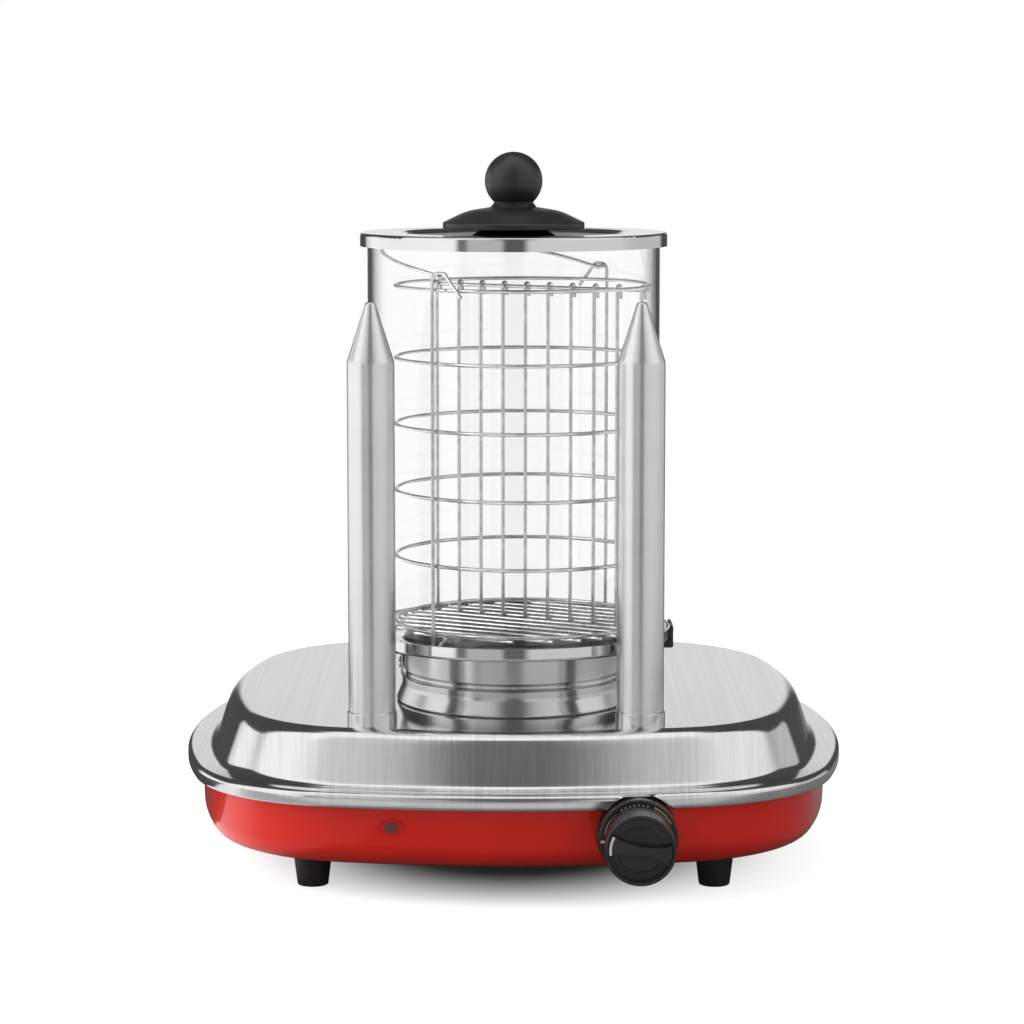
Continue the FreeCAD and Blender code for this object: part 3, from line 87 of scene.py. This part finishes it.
# Each change of brightness with height lies between two angles, in degrees above the horizon
through_change = (-10.2, -9.2)  # below it the glass passes on plain white
wall_change = (13.0, 17.0)      # from low_stops to high_stops
ceiling_change = (65.0, 70.0)
ceiling_light = 1.25

# ---- Lamps: place, target, width and power
lamps = {
    "lamp_above": ((-0.2, -0.1, 1.9), (0.0, 0.0, 0.1), 1.2, 14.0),
    "lamp_left": ((-1.5, -0.9, 1.1), (0.0, 0.0, 0.2), 0.9, 9.0)}

# ---- Tower
tower_axis = (0.0, middle_of("glass_cylinder").y, 0.0)
tray_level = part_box("glass_seal")[0].z
tray_edge = 0.002         # height over which the pan's wall turns into its tray
# Inside this radius the lid's middle is satin and much darker in colour: painted shade and dark reflection
# under the knob
lid_shaded_middle_radius = 0.0590
lid_shaded_middle_edge = 0.0006

# ---- Basket's spot welds
low_ring = 0.1341
ring_spacing = 0.0358
even_rings = 5
top_ring = 0.3161
carrier_turns = (51.5, 231.5)
carrier_spread = 0.004
weld_reach = 0.06982      # from the basket's axis
weld_radius = 0.0011
weld_flatness = 0.7

# ---- Cover, with the outline of the solid
deck_half_width = 0.157
deck_half_depth = 0.155
deck_middle_y = 0.015
bulge_radii = {"front": 0.420, "side": 0.380, "back": 0.500}
corner_radii = {"front": 0.072, "back": 0.088}
deck_level = 0.090
ledge_level = 0.062
band_foot = 0.0537
fill_reach = -0.0075      # the deck is filled flat inside this
skirt_reach = 0.010
ledge_reach = 0.025
hem_reach = 0.0185
cover_sheet = 0.0008
# (out from the deck's edge, height, radius of the corner if it is rounded)
cover_profile = [(fill_reach, deck_level), (0.0, deck_level, 0.010), (skirt_reach, ledge_level, 0.005),
                 (ledge_reach, ledge_level, 0.003), (ledge_reach, band_foot, 0.002), (hem_reach, band_foot)]
column_spacing = 0.0022   # round the outline
rounding_step = 9.0       # degrees, along the profile
holed_nodes = ("spike_tube_left", "spike_tube_right", "heater_plate")
hole_corners = 96
hole_gap = 0.0001
sharp_angle = 40.0        # degrees; steeper edges stay crisp
front_grain = (0.3, 0.0, 0.0)  # gives the grain a direction where the sheet faces the front
join_distance = 1e-6
notch_middle = (0.064, 0.0405)
notch_radius = 0.0219

# ---- Lamp behind the lens
lamp_half_width = 0.0033
lamp_half_height = 0.0027

# ---- Marks on the dial: two angles in degrees, then the radius and the width at both
mark_thickness = 0.00012
mark_facet = 3.0          # degrees
off_mark = (186.0, 182.0, (0.0184, 0.0184), (0.0022, 0.0022))
scale_mark = (171.0, 131.0, (0.0176, 0.0168), (0.0005, 0.0013))
warm_mark = (65.0, 26.0, (0.0182, 0.0182), (0.0005, 0.0005))
first_step = 121.0
step_spacing = 7.5
step_count = 7
step_length = 1.6         # degrees
step_radius = 0.0172
step_width = 0.0016


# ---- Node helpers
class Nodes:
    """Nodes under construction in one tree."""

    def __init__(self, tree):
        self.nodes = tree.nodes
        self.links = tree.links

    def feed(self, socket, value):
        """Link an output to a socket, or set a plain value there."""
        if isinstance(value, (float, tuple)):
            socket.default_value = value
        else:
            self.links.new(value, socket)

    def maths(self, operation, *values):
        """Maths between outputs or numbers."""
        node = self.nodes.new("ShaderNodeMath")
        node.operation = operation
        for socket, value in zip(node.inputs, values):
            self.feed(socket, value)
        return node.outputs["Value"]

    def vector_maths(self, operation, *values):
        """Vector maths between outputs or fixed vectors."""
        node = self.nodes.new("ShaderNodeVectorMath")
        node.operation = operation
        for socket, value in zip(node.inputs, values):
            self.feed(socket, value)
        return node.outputs["Value" if operation == "LENGTH" else "Vector"]

    def parts(self, vector):
        """X, Y and Z of a vector."""
        node = self.nodes.new("ShaderNodeSeparateXYZ")
        self.links.new(vector, node.inputs["Vector"])
        return node.outputs

    def reach(self, value, start, end, kind="LINEAR"):
        """0 at one value and 1 at another."""
        node = self.nodes.new("ShaderNodeMapRange")
        node.interpolation_type = kind
        node.inputs["From Min"].default_value = start
        node.inputs["From Max"].default_value = end
        self.links.new(value, node.inputs["Value"])
        return node.outputs["Result"]

    def spread(self, value, low, high):
        """Carry 0..1 to low..high."""
        node = self.nodes.new("ShaderNodeMapRange")
        node.inputs["To Min"].default_value = low
        node.inputs["To Max"].default_value = high
        self.links.new(value, node.inputs["Value"])
        return node.outputs["Result"]

    def ramp(self, value, stops):
        """Colours by value; a stop is (place, colour)."""
        node = self.nodes.new("ShaderNodeValToRGB")
        elements = node.color_ramp.elements
        while len(elements) < len(stops):
            elements.new(1.0)
        for element, (place, colour) in zip(elements, stops):
            element.position = place
            element.color = (*colour, 1.0)
        self.links.new(value, node.inputs["Fac"])
        return node.outputs["Color"]

    def greys(self, value, stops, span):
        """Greys by value over a span; a stop is (value, grey)."""
        first, last = span
        share = self.reach(value, first, last)
        return self.ramp(share, [((place - first) / (last - first), (grey,) * 3) for place, grey in stops])

    def between(self, factor, first, second):
        """Blend of two outputs or numbers."""
        node = self.nodes.new("ShaderNodeMix")
        for name, value in (("Factor", factor), ("A", first), ("B", second)):
            self.feed(node.inputs[name], value)
        return node.outputs["Result"]


class Shader(Nodes):
    """A material under construction, with its Principled shader."""

    def __init__(self, name):
        self.material = bpy.data.materials.new(name)
        self.material.use_nodes = True
        super().__init__(self.material.node_tree)
        self.principled = self.nodes["Principled BSDF"]
        self.place = self.nodes.new("ShaderNodeTexCoord").outputs["Object"]

    def set(self, **values):
        """Set plain values on the shader's own sockets."""
        for name, value in values.items():
            self.principled.inputs[name.replace("_", " ")].default_value = value

    def plug(self, name, output):
        """Link an output to a socket of the shader."""
        self.links.new(output, self.principled.inputs[name])

    def stretched(self, x, y, z):
        """Object coordinates multiplied axis by axis."""
        mapping = self.nodes.new("ShaderNodeMapping")
        mapping.inputs["Scale"].default_value = (x, y, z)
        self.links.new(self.place, mapping.inputs["Vector"])
        return mapping.outputs["Vector"]

    def noise(self, vector, scale=1.0, detail=3.0, roughness=0.5):
        """Fractal noise from 0 to 1."""
        node = self.nodes.new("ShaderNodeTexNoise")
        node.inputs["Scale"].default_value = scale
        node.inputs["Detail"].default_value = detail
        node.inputs["Roughness"].default_value = roughness
        self.links.new(vector, node.inputs["Vector"])
        return node.outputs["Fac"]

    def cells(self, vector, scale):
        """Random value of each Voronoi cell."""
        node = self.nodes.new("ShaderNodeTexVoronoi")
        node.inputs["Scale"].default_value = scale
        self.links.new(vector, node.inputs["Vector"])
        return node.outputs["Color"]

    def bump(self, *layers):
        """Bump from layers of (height, distance in metres), one upon the other."""
        normal = None
        for height, distance in layers:
            node = self.nodes.new("ShaderNodeBump")
            node.inputs["Strength"].default_value = 1.0
            node.inputs["Distance"].default_value = distance
            self.links.new(height, node.inputs["Height"])
            if normal is not None:
                self.links.new(normal, node.inputs["Normal"])
            normal = node.outputs["Normal"]
        self.plug("Normal", normal)

    def normal(self):
        """Surface normal."""
        return self.nodes.new("ShaderNodeNewGeometry").outputs["Normal"]


# ---- Steel
def sheet_brushed_steel():
    """Sheet brushed front to back before it was formed."""
    steel = Shader("steel_brushed_sheet")
    fine = steel.noise(steel.stretched(2600, 14, 170), detail=2.0)
    broad = steel.noise(steel.stretched(420, 2.5, 30), detail=3.0, roughness=0.6)
    smear = steel.noise(steel.stretched(9, 9, 9), detail=4.0, roughness=0.6)
    steel.set(Metallic=1.0, Anisotropic=0.75)
    steel.plug("Base Color", steel.ramp(broad, [(0.25, (0.60, 0.605, 0.61)), (0.5, (0.66, 0.66, 0.66)),
                                                (0.75, (0.72, 0.72, 0.71))]))
    steel.plug("Roughness", steel.maths("MULTIPLY", steel.spread(fine, 0.75, 1.25),
                                        steel.spread(smear, 0.09, 0.17)))
    across = steel.vector_maths("CROSS_PRODUCT", steel.normal(), (0.0, 1.0, 0.0))
    steel.plug("Tangent", steel.vector_maths("SUBTRACT", across, front_grain))
    steel.bump((fine, 0.000008), (broad, 0.000006))
    return steel.material


def lathe_steel(name, anisotropic, stretch, axis=None, pitch=2200, ring_depth=0.000004):
    """Steel with a lathe's fine rings and no tone yet; a piece with flats has to name its axis."""
    steel = Shader(name)
    rings = steel.noise(steel.stretched(10, 10, pitch), detail=2.0)
    clouds = steel.noise(steel.stretched(*stretch), detail=4.0, roughness=0.6)
    steel.set(Metallic=1.0, Anisotropic=anisotropic)
    outward = steel.vector_maths("SUBTRACT", steel.place, axis) if axis else steel.normal()
    around = steel.vector_maths("CROSS_PRODUCT", (0.0, 0.0, 1.0), outward)
    steel.plug("Tangent", steel.vector_maths("CROSS_PRODUCT", steel.normal(), around))
    steel.bump((rings, ring_depth), (clouds, 0.00002))
    return steel, rings, clouds


def turned_steel(name, low, high, light, anisotropic=0.6):
    """Plain turned steel; roughness runs from low to high, and light is its tone."""
    steel, rings, clouds = lathe_steel(name, anisotropic, (16, 16, 40))
    tones = [(0.3, (light - 0.03,) * 3), (0.7, (light + 0.03,) * 3)]
    steel.plug("Base Color", steel.ramp(clouds, tones))
    steel.plug("Roughness", steel.maths("MULTIPLY", steel.spread(rings, 0.85, 1.15),
                                        steel.spread(clouds, low, high)))
    return steel.material


def lid_steel():
    """Polished lid with a satin pressed middle, whose colour is darkened as painted shade and dark reflection
    under the knob.
    """
    steel, _, clouds = lathe_steel("steel_lid", 0.5, (30, 30, 60), tower_axis)
    offset = steel.vector_maths("SUBTRACT", steel.place, tower_axis)
    distance = steel.vector_maths("LENGTH", steel.vector_maths("MULTIPLY", offset, (1.0, 1.0, 0.0)))
    flange = steel.reach(distance, lid_shaded_middle_radius, lid_shaded_middle_radius + lid_shaded_middle_edge)
    # The middle's dark colour is painted shade and dark reflection under the knob; the flange keeps the
    # steel's own tone
    steel.plug("Base Color", steel.between(flange, steel.spread(clouds, 0.20, 0.30),
                                           steel.spread(clouds, 0.64, 0.72)))
    steel.plug("Roughness", steel.between(flange, steel.spread(clouds, 0.26, 0.40),
                                          steel.spread(clouds, 0.07, 0.14)))
    return steel.material


def boiler_steel():
    """Drawn pan with a satin wall under a polished tray; the wall's darker tone is painted shade under the
    tray.
    """
    steel, _, clouds = lathe_steel("steel_boiler", 0.5, (16, 16, 50), tower_axis,
                                   pitch=1500, ring_depth=0.00001)
    tray = steel.reach(steel.parts(steel.place)["Z"], tray_level - tray_edge, tray_level)
    # The wall's tone, darker than the tray's, is painted shade below the tray's overhang
    steel.plug("Base Color", steel.between(tray, steel.spread(clouds, 0.50, 0.60), 0.66))
    steel.plug("Roughness", steel.between(tray, steel.spread(clouds, 0.17, 0.24), 0.09))
    return steel.material


def basket_wire_steel():
    """Drawn and polished round wire."""
    wire = Shader("steel_basket_wire")
    tarnish = wire.noise(wire.place, scale=160.0, detail=4.0, roughness=0.6)
    scratches = wire.noise(wire.stretched(1500, 1500, 90), detail=2.0)
    wire.set(Metallic=1.0)
    wire.plug("Base Color", wire.ramp(tarnish, [(0.35, (0.55, 0.54, 0.52)), (0.65, (0.72, 0.72, 0.71))]))
    wire.plug("Roughness", wire.spread(tarnish, 0.16, 0.32))
    wire.bump((scratches, 0.00001))
    return wire.material


# ---- Plating, castings, plastic and rubber
def mottled(name, dark, light, low, high, scale=300.0, detail=4.0, depth=0.00003, **values):
    """Plain stuff with a mottled colour and a grainy skin; roughness runs from low to high."""
    stuff = Shader(name)
    mottle = stuff.noise(stuff.place, scale=scale, detail=detail)
    stuff.set(**values)
    stuff.plug("Base Color", stuff.ramp(mottle, [(0.3, dark), (0.7, light)]))
    stuff.plug("Roughness", stuff.spread(mottle, low, high))
    stuff.bump((mottle, depth))
    return stuff.material


def black_phenolic(name, low, high, dark=(0.010, 0.010, 0.011), light=(0.020, 0.019, 0.019)):
    """Moulded black phenolic, satin; roughness runs from low to high."""
    plastic = Shader(name)
    grain = plastic.noise(plastic.place, scale=2200.0, detail=2.0)
    handling = plastic.noise(plastic.place, scale=45.0, detail=5.0, roughness=0.6)
    plastic.set(Specular_IOR_Level=0.5)
    plastic.plug("Base Color", plastic.ramp(handling, [(0.3, dark), (0.7, light)]))
    plastic.plug("Roughness", plastic.spread(handling, low, high))
    plastic.bump((grain, 0.00002))
    return plastic.material


def black_rubber():
    """Moulded rubber, brown-black and dusty."""
    rubber = Shader("rubber_black")
    dust = rubber.noise(rubber.place, scale=90.0, detail=5.0, roughness=0.65)
    pores = rubber.noise(rubber.place, scale=1600.0, detail=2.0)
    tones = [(0.35, (0.012, 0.009, 0.008)), (0.75, (0.035, 0.028, 0.024))]
    rubber.plug("Base Color", rubber.ramp(dust, tones))
    rubber.plug("Roughness", rubber.spread(dust, 0.42, 0.62))
    rubber.bump((pores, 0.00004))
    return rubber.material


# ---- Paint and glass
def red_paint():
    """Metallic red paint under a clear coat."""
    paint = Shader("paint_metallic_red")
    flakes = paint.cells(paint.place, 2600.0)
    tone = paint.noise(paint.place, scale=14.0, detail=3.0)
    peel = paint.noise(paint.place, scale=260.0, detail=2.0)
    paint.set(Metallic=0.35, Specular_IOR_Level=0.12, Coat_Weight=0.85, Coat_Roughness=0.03, Coat_IOR=1.5)
    paint.plug("Base Color", paint.ramp(tone, [(0.3, (0.80, 0.010, 0.004)), (0.7, (0.90, 0.018, 0.006))]))
    paint.plug("Roughness", paint.spread(flakes, 0.28, 0.44))
    paint.bump((flakes, 0.00003), (peel, 0.00002))
    return paint.material


def tower_glass():
    """Clear drawn glass tube; light passes it on its way to the basket."""
    glass = Shader("glass_clear")
    waves = glass.noise(glass.stretched(30, 30, 5), detail=1.0)
    smudges = glass.noise(glass.place, scale=16.0, detail=5.0, roughness=0.7)
    glass.set(Base_Color=(0.985, 0.988, 0.986, 1.0), Transmission_Weight=1.0, IOR=1.45)
    glass.plug("Roughness", glass.spread(smudges, 0.0, 0.012))
    shadow = glass.nodes.new("ShaderNodeLightPath").outputs["Is Shadow Ray"]
    glass.plug("Alpha", glass.maths("SUBTRACT", 1.0, shadow))
    glass.bump((waves, 0.00004))
    return glass.material


def red_lens():
    """Moulded translucent red lens, with the dark lamp showing behind its middle."""
    lens = Shader("lens_red")
    swirl = lens.noise(lens.place, scale=120.0, detail=3.0)
    offset = lens.vector_maths("SUBTRACT", lens.place, tuple(middle_of("indicator_lens")))
    share = lens.parts(lens.vector_maths("DIVIDE", offset, (lamp_half_width, 1.0, lamp_half_height)))
    beside = lens.maths("MAXIMUM", lens.maths("ABSOLUTE", share["X"]), lens.maths("ABSOLUTE", share["Z"]))
    clear = lens.maths("MULTIPLY", lens.reach(beside, 0.9, 1.15), lens.spread(swirl, 0.85, 1.05))
    lens.set(IOR=1.49)
    lens.plug("Base Color", lens.ramp(clear, [(0.1, (0.17, 0.045, 0.036)), (0.9, (0.62, 0.008, 0.008))]))
    lens.plug("Roughness", lens.spread(swirl, 0.05, 0.12))
    lens.bump((swirl, 0.00002))
    return lens.material


def finish_nodes():
    """Give every CAD node its own finish, or that of the material slot that it was packed with."""
    finishes = {
        "brushed_steel": turned_steel("steel_turned", 0.14, 0.24, 0.68),
        "red_paint": red_paint(),
        "basket_wire": basket_wire_steel(),
        "tower_glass": tower_glass(),
        "silicone": mottled("silicone_pale", (0.62, 0.62, 0.60), (0.72, 0.72, 0.70), 0.35, 0.5,
                            scale=60.0, detail=3.0, depth=0.00004,
                            Subsurface_Weight=0.25, Subsurface_Radius=(0.002, 0.002, 0.002)),
        "black_phenolic": black_phenolic("phenolic_black", 0.32, 0.45),
        "pointer_paint": mottled("paint_pale", (0.55, 0.55, 0.53), (0.66, 0.66, 0.64), 0.3, 0.4),
        "lens_red": red_lens(),
        "black_rubber": black_rubber(),
        "zinc_steel": mottled("zinc_plate", (0.48, 0.50, 0.50), (0.66, 0.66, 0.62), 0.28, 0.5,
                              scale=420.0, Metallic=1.0),
        "cast_aluminium": mottled("cast_aluminium", (0.50, 0.50, 0.50), (0.64, 0.64, 0.63), 0.45, 0.65,
                                  scale=1500.0, detail=3.0, depth=0.00008, Metallic=1.0),
        "sheath": mottled("element_sheath", (0.20, 0.17, 0.15), (0.38, 0.36, 0.34), 0.4, 0.6,
                          scale=70.0, detail=5.0, depth=0.00004, Metallic=1.0),
        "ceramic": mottled("ceramic_steatite", (0.70, 0.67, 0.60), (0.82, 0.80, 0.74), 0.3, 0.5),
        "white_nylon": mottled("nylon_white", (0.66, 0.66, 0.64), (0.76, 0.76, 0.74), 0.4, 0.55),
        "lead_insulation": mottled("lead_insulation", (0.42, 0.38, 0.34), (0.56, 0.51, 0.46), 0.5, 0.7)}
    satin = turned_steel("steel_spike", 0.26, 0.34, 0.70, anisotropic=0.2)
    knob = black_phenolic("phenolic_knob", 0.20, 0.34, (0.013, 0.010, 0.009), (0.026, 0.020, 0.017))
    own = {
        "spike_tube_left": satin,
        "spike_tube_right": satin,
        "control_knob": knob,
        "dial_plate": knob,
        "lid_plate": lid_steel(),
        "boiler_pan": boiler_steel()}
    for name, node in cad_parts.items():
        for slot in node.material_slots:
            packed = slot.material.name.split(".")[0]
            slot.material = own.get(name, finishes[packed])
    return finishes


finishes = finish_nodes()


# ---- Meshes
def add_object(name, form, finish):
    """Object made of a finished form."""
    mesh = bpy.data.meshes.new(name)
    form.to_mesh(mesh)
    form.free()
    mesh.materials.append(finish)
    piece = bpy.data.objects.new(name, mesh)
    bpy.context.scene.collection.objects.link(piece)
    return piece


def join_rings(form, first, second):
    """Faces between two closed rings of points."""
    for index in range(len(first)):
        form.faces.new((first[index - 1], first[index], second[index], second[index - 1]))


# ---- Cover
def corner_middle(bulge):
    """Middle of the arc that joins the front or back bulge to the right side."""
    sign = -1 if bulge == "front" else 1
    end = Vector((0.0, sign * (deck_half_depth - bulge_radii[bulge])))
    side = Vector((deck_half_width - bulge_radii["side"], 0.0))
    first = bulge_radii[bulge] - corner_radii[bulge]
    second = bulge_radii["side"] - corner_radii[bulge]
    spread = (side - end).length
    along = (first ** 2 - second ** 2 + spread ** 2) / (2 * spread)
    across = sqrt(first ** 2 - along ** 2)
    unit = (side - end) / spread
    aside = Vector((-unit.y, unit.x))
    return max((end + unit * along + aside * turn * across for turn in (1, -1)), key=lambda place: place.x)


def outline_columns():
    """Places on the deck's outline, each with its outward direction, all the way round."""
    side = Vector((deck_half_width - bulge_radii["side"], 0.0))
    front = Vector((0.0, bulge_radii["front"] - deck_half_depth))
    back = Vector((0.0, deck_half_depth - bulge_radii["back"]))
    front_corner, back_corner = corner_middle("front"), corner_middle("back")

    def heading(start, end):
        return atan2(end.y - start.y, end.x - start.x)

    turns = [-pi / 2, heading(front, front_corner), heading(side, front_corner),
             heading(side, back_corner), heading(back, back_corner), pi / 2]
    arcs = [(front, bulge_radii["front"]), (front_corner, corner_radii["front"]), (side, bulge_radii["side"]),
            (back_corner, corner_radii["back"]), (back, bulge_radii["back"])]
    right = []
    for (middle, radius), first, last in zip(arcs, turns, turns[1:]):
        count = ceil((last - first) * (radius + ledge_reach) / column_spacing)
        for index in range(count):
            angle = first + (last - first) * index / count
            out = Vector((cos(angle), sin(angle)))
            right.append((middle + out * radius, out))
    right.append((Vector((0.0, deck_half_depth)), Vector((0.0, 1.0))))
    left = [(Vector((-place.x, place.y)), Vector((-out.x, out.y))) for place, out in right[-2:0:-1]]
    return [(place + Vector((0.0, deck_middle_y)), out) for place, out in right + left]


def rounded(corners):
    """Profile with its corners rounded where they have a radius."""
    path = []
    for index, corner in enumerate(corners):
        point = Vector(corner[:2])
        if len(corner) == 2:
            path.append(point)
            continue
        before = (Vector(corners[index - 1][:2]) - point).normalized()
        after = (Vector(corners[index + 1][:2]) - point).normalized()
        half = before.angle(after) / 2
        middle = point + (before + after).normalized() * corner[2] / sin(half)
        start = point + before * corner[2] / tan(half) - middle
        end = point + after * corner[2] / tan(half) - middle
        turn = pi - 2 * half
        count = ceil(degrees(turn) / rounding_step)
        for step in range(count + 1):
            share = step / count
            spoke = (start * sin((1 - share) * turn) + end * sin(share * turn)) / sin(turn)
            path.append(middle + spoke)
    return path


def above_notch(x, y, z):
    """Height of a point of the band, raised to the edge of the notch round the dial."""
    aside = abs(x - notch_middle[0])
    if y > 0 or aside >= notch_radius:
        return z
    arch = notch_middle[1] + sqrt(notch_radius ** 2 - aside ** 2)
    return max(z, min(arch, ledge_level - cover_sheet))


def inner_side(path):
    """The profile of the sheet's underside."""
    inner = []
    for index, point in enumerate(path):
        run = (path[min(index + 1, len(path) - 1)] - path[max(index - 1, 0)]).normalized()
        inner.append(point - Vector((-run.y, run.x)) * cover_sheet)
    return inner


def round_hole(form, node, level):
    """Closed ring of points for the hole round a node."""
    low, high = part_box(node)
    middle = (low + high) / 2
    radius = (high.x - low.x) / 2 + hole_gap
    spokes = [2 * pi * index / hole_corners for index in range(hole_corners)]
    return [form.verts.new((middle.x + radius * cos(turn), middle.y + radius * sin(turn), level))
            for turn in spokes]


def sheet_side(form, path):
    """One side of the sheet; gives the rings of points at its free edges."""
    outermost = max(point.x for point in path)
    columns = []
    for place, out in outline_columns():
        column = []
        for offset, z in path:
            x, y = place + out * offset
            level = above_notch(x, y, z)
            if level > z:
                x, y = place + out * outermost
            column.append(form.verts.new((x, y, level)))
        columns.append(column)
    for index, column in enumerate(columns):
        before = columns[index - 1]
        for row in range(len(path) - 1):
            form.faces.new((before[row], before[row + 1], column[row + 1], column[row]))
    level = path[0].y
    rings = [[column[0] for column in columns]]
    rings += [round_hole(form, node, level) for node in holed_nodes]
    edges = []
    for ring in rings:
        for index, point in enumerate(ring):
            pair = (ring[index - 1], point)
            edges.append(form.edges.get(pair) or form.edges.new(pair))
    bmesh.ops.triangle_fill(form, use_beauty=True, edges=edges)
    return [[column[-1] for column in columns]] + rings[1:]


def add_cover(finish):
    """Deck, skirt, ledge and band in one smooth sheet."""
    form = bmesh.new()
    path = rounded(cover_profile)
    for outer, inner in zip(sheet_side(form, path), sheet_side(form, inner_side(path))):
        join_rings(form, outer, inner)
    bmesh.ops.remove_doubles(form, verts=form.verts, dist=join_distance)
    bmesh.ops.recalc_face_normals(form, faces=form.faces)
    for face in form.faces:
        face.smooth = True
    for edge in form.edges:
        edge.smooth = len(edge.link_faces) == 2 and edge.calc_face_angle() < radians(sharp_angle)
    cover = add_object("cover_formed_sheet", form, finish)
    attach(cover, "base")
    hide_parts("top_cover")


add_cover(sheet_brushed_steel())


# ---- Marks on the dial
def add_mark(name, first, last, radii, widths, finish):
    """Thin printed strip on the dial, from one angle to another, with its radius and width at both ends."""
    count = max(2, ceil(abs(last - first) / mark_facet))
    face_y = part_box("dial_plate")[0].y
    middle = middle_of("dial_plate")
    form = bmesh.new()
    rows = []
    for index in range(count + 1):
        share = index / count
        turn = radians(first + (last - first) * share)
        radius = radii[0] + (radii[1] - radii[0]) * share
        half = (widths[0] + (widths[1] - widths[0]) * share) / 2
        rows.append([form.verts.new((middle.x + (radius + side * half) * cos(turn), face_y - lift,
                                     middle.z + (radius + side * half) * sin(turn)))
                     for side, lift in ((-1, 0.0), (-1, mark_thickness), (1, mark_thickness), (1, 0.0))])
    for before, after in zip(rows, rows[1:]):
        join_rings(form, before, after)
    form.faces.new(rows[0])
    form.faces.new(rows[-1])
    bmesh.ops.recalc_face_normals(form, faces=form.faces)
    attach(add_object(name, form, finish), "base")


def add_dial_marks():
    """Off mark, a swelling heat scale, its steps and a keep-warm band."""
    white = finishes["pointer_paint"]
    amber = mottled("print_amber", (0.50, 0.36, 0.20), (0.58, 0.43, 0.26), 0.35, 0.5)
    add_mark("dial_mark_off", *off_mark, white)
    add_mark("dial_mark_scale", *scale_mark, white)
    for index in range(step_count):
        turn = first_step - step_spacing * index
        add_mark("dial_mark_step_%d" % (index + 1), turn, turn - step_length,
                 (step_radius, step_radius), (step_width, step_width), white)
    add_mark("dial_mark_warm", *warm_mark, amber)


add_dial_marks()


# ---- Spot welds of the basket
def add_welds():
    """Nuggets where the carrying wires cross the rings."""
    middle = middle_of("basket_rings")
    form = bmesh.new()
    for level in [low_ring + ring_spacing * index for index in range(even_rings)] + [top_ring]:
        for angle in map(radians, carrier_turns):
            for across in (-carrier_spread, carrier_spread):
                spot = Vector((middle.x + weld_reach * cos(angle) - across * sin(angle),
                               middle.y + weld_reach * sin(angle) + across * cos(angle), level))
                shape = Matrix.Translation(spot) @ Matrix.Diagonal((1.0, 1.0, weld_flatness, 1.0))
                bmesh.ops.create_icosphere(form, subdivisions=2, radius=weld_radius, matrix=shape)
    for face in form.faces:
        face.smooth = True
    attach(add_object("basket_spot_welds", form, finishes["basket_wire"]), "basket")


add_welds()


# ---- Floor, room, light and camera
def floor_finish():
    """Pale paper that keeps the object's shadow and reads white elsewhere; reflections see it darker."""
    paper = Shader("floor_pale")
    paper.set(Roughness=0.9, Specular_IOR_Level=0.1, Emission_Color=(1.0, 1.0, 1.0, 1.0))
    path = paper.nodes.new("ShaderNodeLightPath").outputs
    seen = paper.maths("MAXIMUM", path["Is Camera Ray"], path["Is Transmission Ray"])
    way = paper.parts(paper.place)
    card, open_floor = (paper.greys(way["Y"], stops, (stops[0][0], stops[-1][0]))
                        for stops in (card_stops, open_floor_stops))
    reflected = paper.between(paper.reach(way["X"], *card_side), card, open_floor)
    paper.plug("Base Color", paper.between(seen, reflected, seen_floor_tone))
    offset = paper.vector_maths("SUBTRACT", paper.place, (*shadow_middle, 0.0))
    share = paper.vector_maths("DIVIDE", offset, (*shadow_half_sizes, 1.0))
    away = paper.reach(paper.vector_maths("LENGTH", share), *shadow_fade, kind="SMOOTHSTEP")
    light = paper.maths("MULTIPLY", away, seen_floor_light)
    paper.plug("Emission Strength", paper.maths("MULTIPLY", seen, light))
    return paper.material


def add_floor():
    """Round floor under the object."""
    form = bmesh.new()
    bmesh.ops.create_circle(form, cap_ends=True, segments=floor_corners, radius=floor_radius)
    add_object("floor", form, floor_finish())


def add_room():
    """Studio round the object: white for the camera, soft boxes and dark flags for reflections."""
    world = bpy.data.worlds.new("room")
    bpy.context.scene.world = world
    world.use_nodes = True
    room = Nodes(world.node_tree)
    way = room.parts(room.nodes.new("ShaderNodeTexCoord").outputs["Generated"])
    turn = room.maths("DEGREES", room.maths("ARCTAN2", way["X"], room.maths("MULTIPLY", way["Y"], -1.0)))
    path = room.nodes.new("ShaderNodeLightPath").outputs

    def above(change):
        low, high = (sin(radians(angle)) for angle in change)
        return room.reach(way["Z"], low, high, kind="SMOOTHSTEP")

    low, high, through = (room.greys(turn, stops, full_turn)
                          for stops in (low_stops, high_stops, through_stops))
    through = room.between(above(through_change), 1.0, through)
    walls = room.between(above(wall_change), room.between(path["Is Transmission Ray"], low, through), high)
    whole = room.between(above(ceiling_change), walls, ceiling_light)
    room.feed(room.nodes["Background"].inputs["Color"], room.between(path["Is Camera Ray"], whole, 1.0))


def add_lamp(name, place, target, width, power):
    """Square soft box aimed at a point."""
    lamp = bpy.data.lights.new(name, "AREA")
    lamp.shape = "SQUARE"
    lamp.size = width
    lamp.energy = power
    holder = bpy.data.objects.new(name, lamp)
    holder.location = place
    holder.rotation_euler = (Vector(target) - Vector(place)).to_track_quat("-Z", "Y").to_euler()
    holder.visible_glossy = False
    bpy.context.scene.collection.objects.link(holder)


def add_camera():
    """Camera at the picture's place and angle."""
    lens = bpy.data.cameras.new("camera")
    lens.sensor_width = sensor_width
    lens.lens = focal_pixels / image_side * sensor_width
    lens.clip_end = camera_range
    camera = bpy.data.objects.new("camera", lens)
    camera.location = camera_place
    camera.rotation_euler = (radians(90 - camera_drop), 0.0, camera_turn)
    bpy.context.scene.collection.objects.link(camera)
    bpy.context.scene.camera = camera


add_floor()
add_room()
for name, settings in lamps.items():
    add_lamp(name, *settings)
add_camera()

bpy.context.scene.view_settings.view_transform = "Standard"
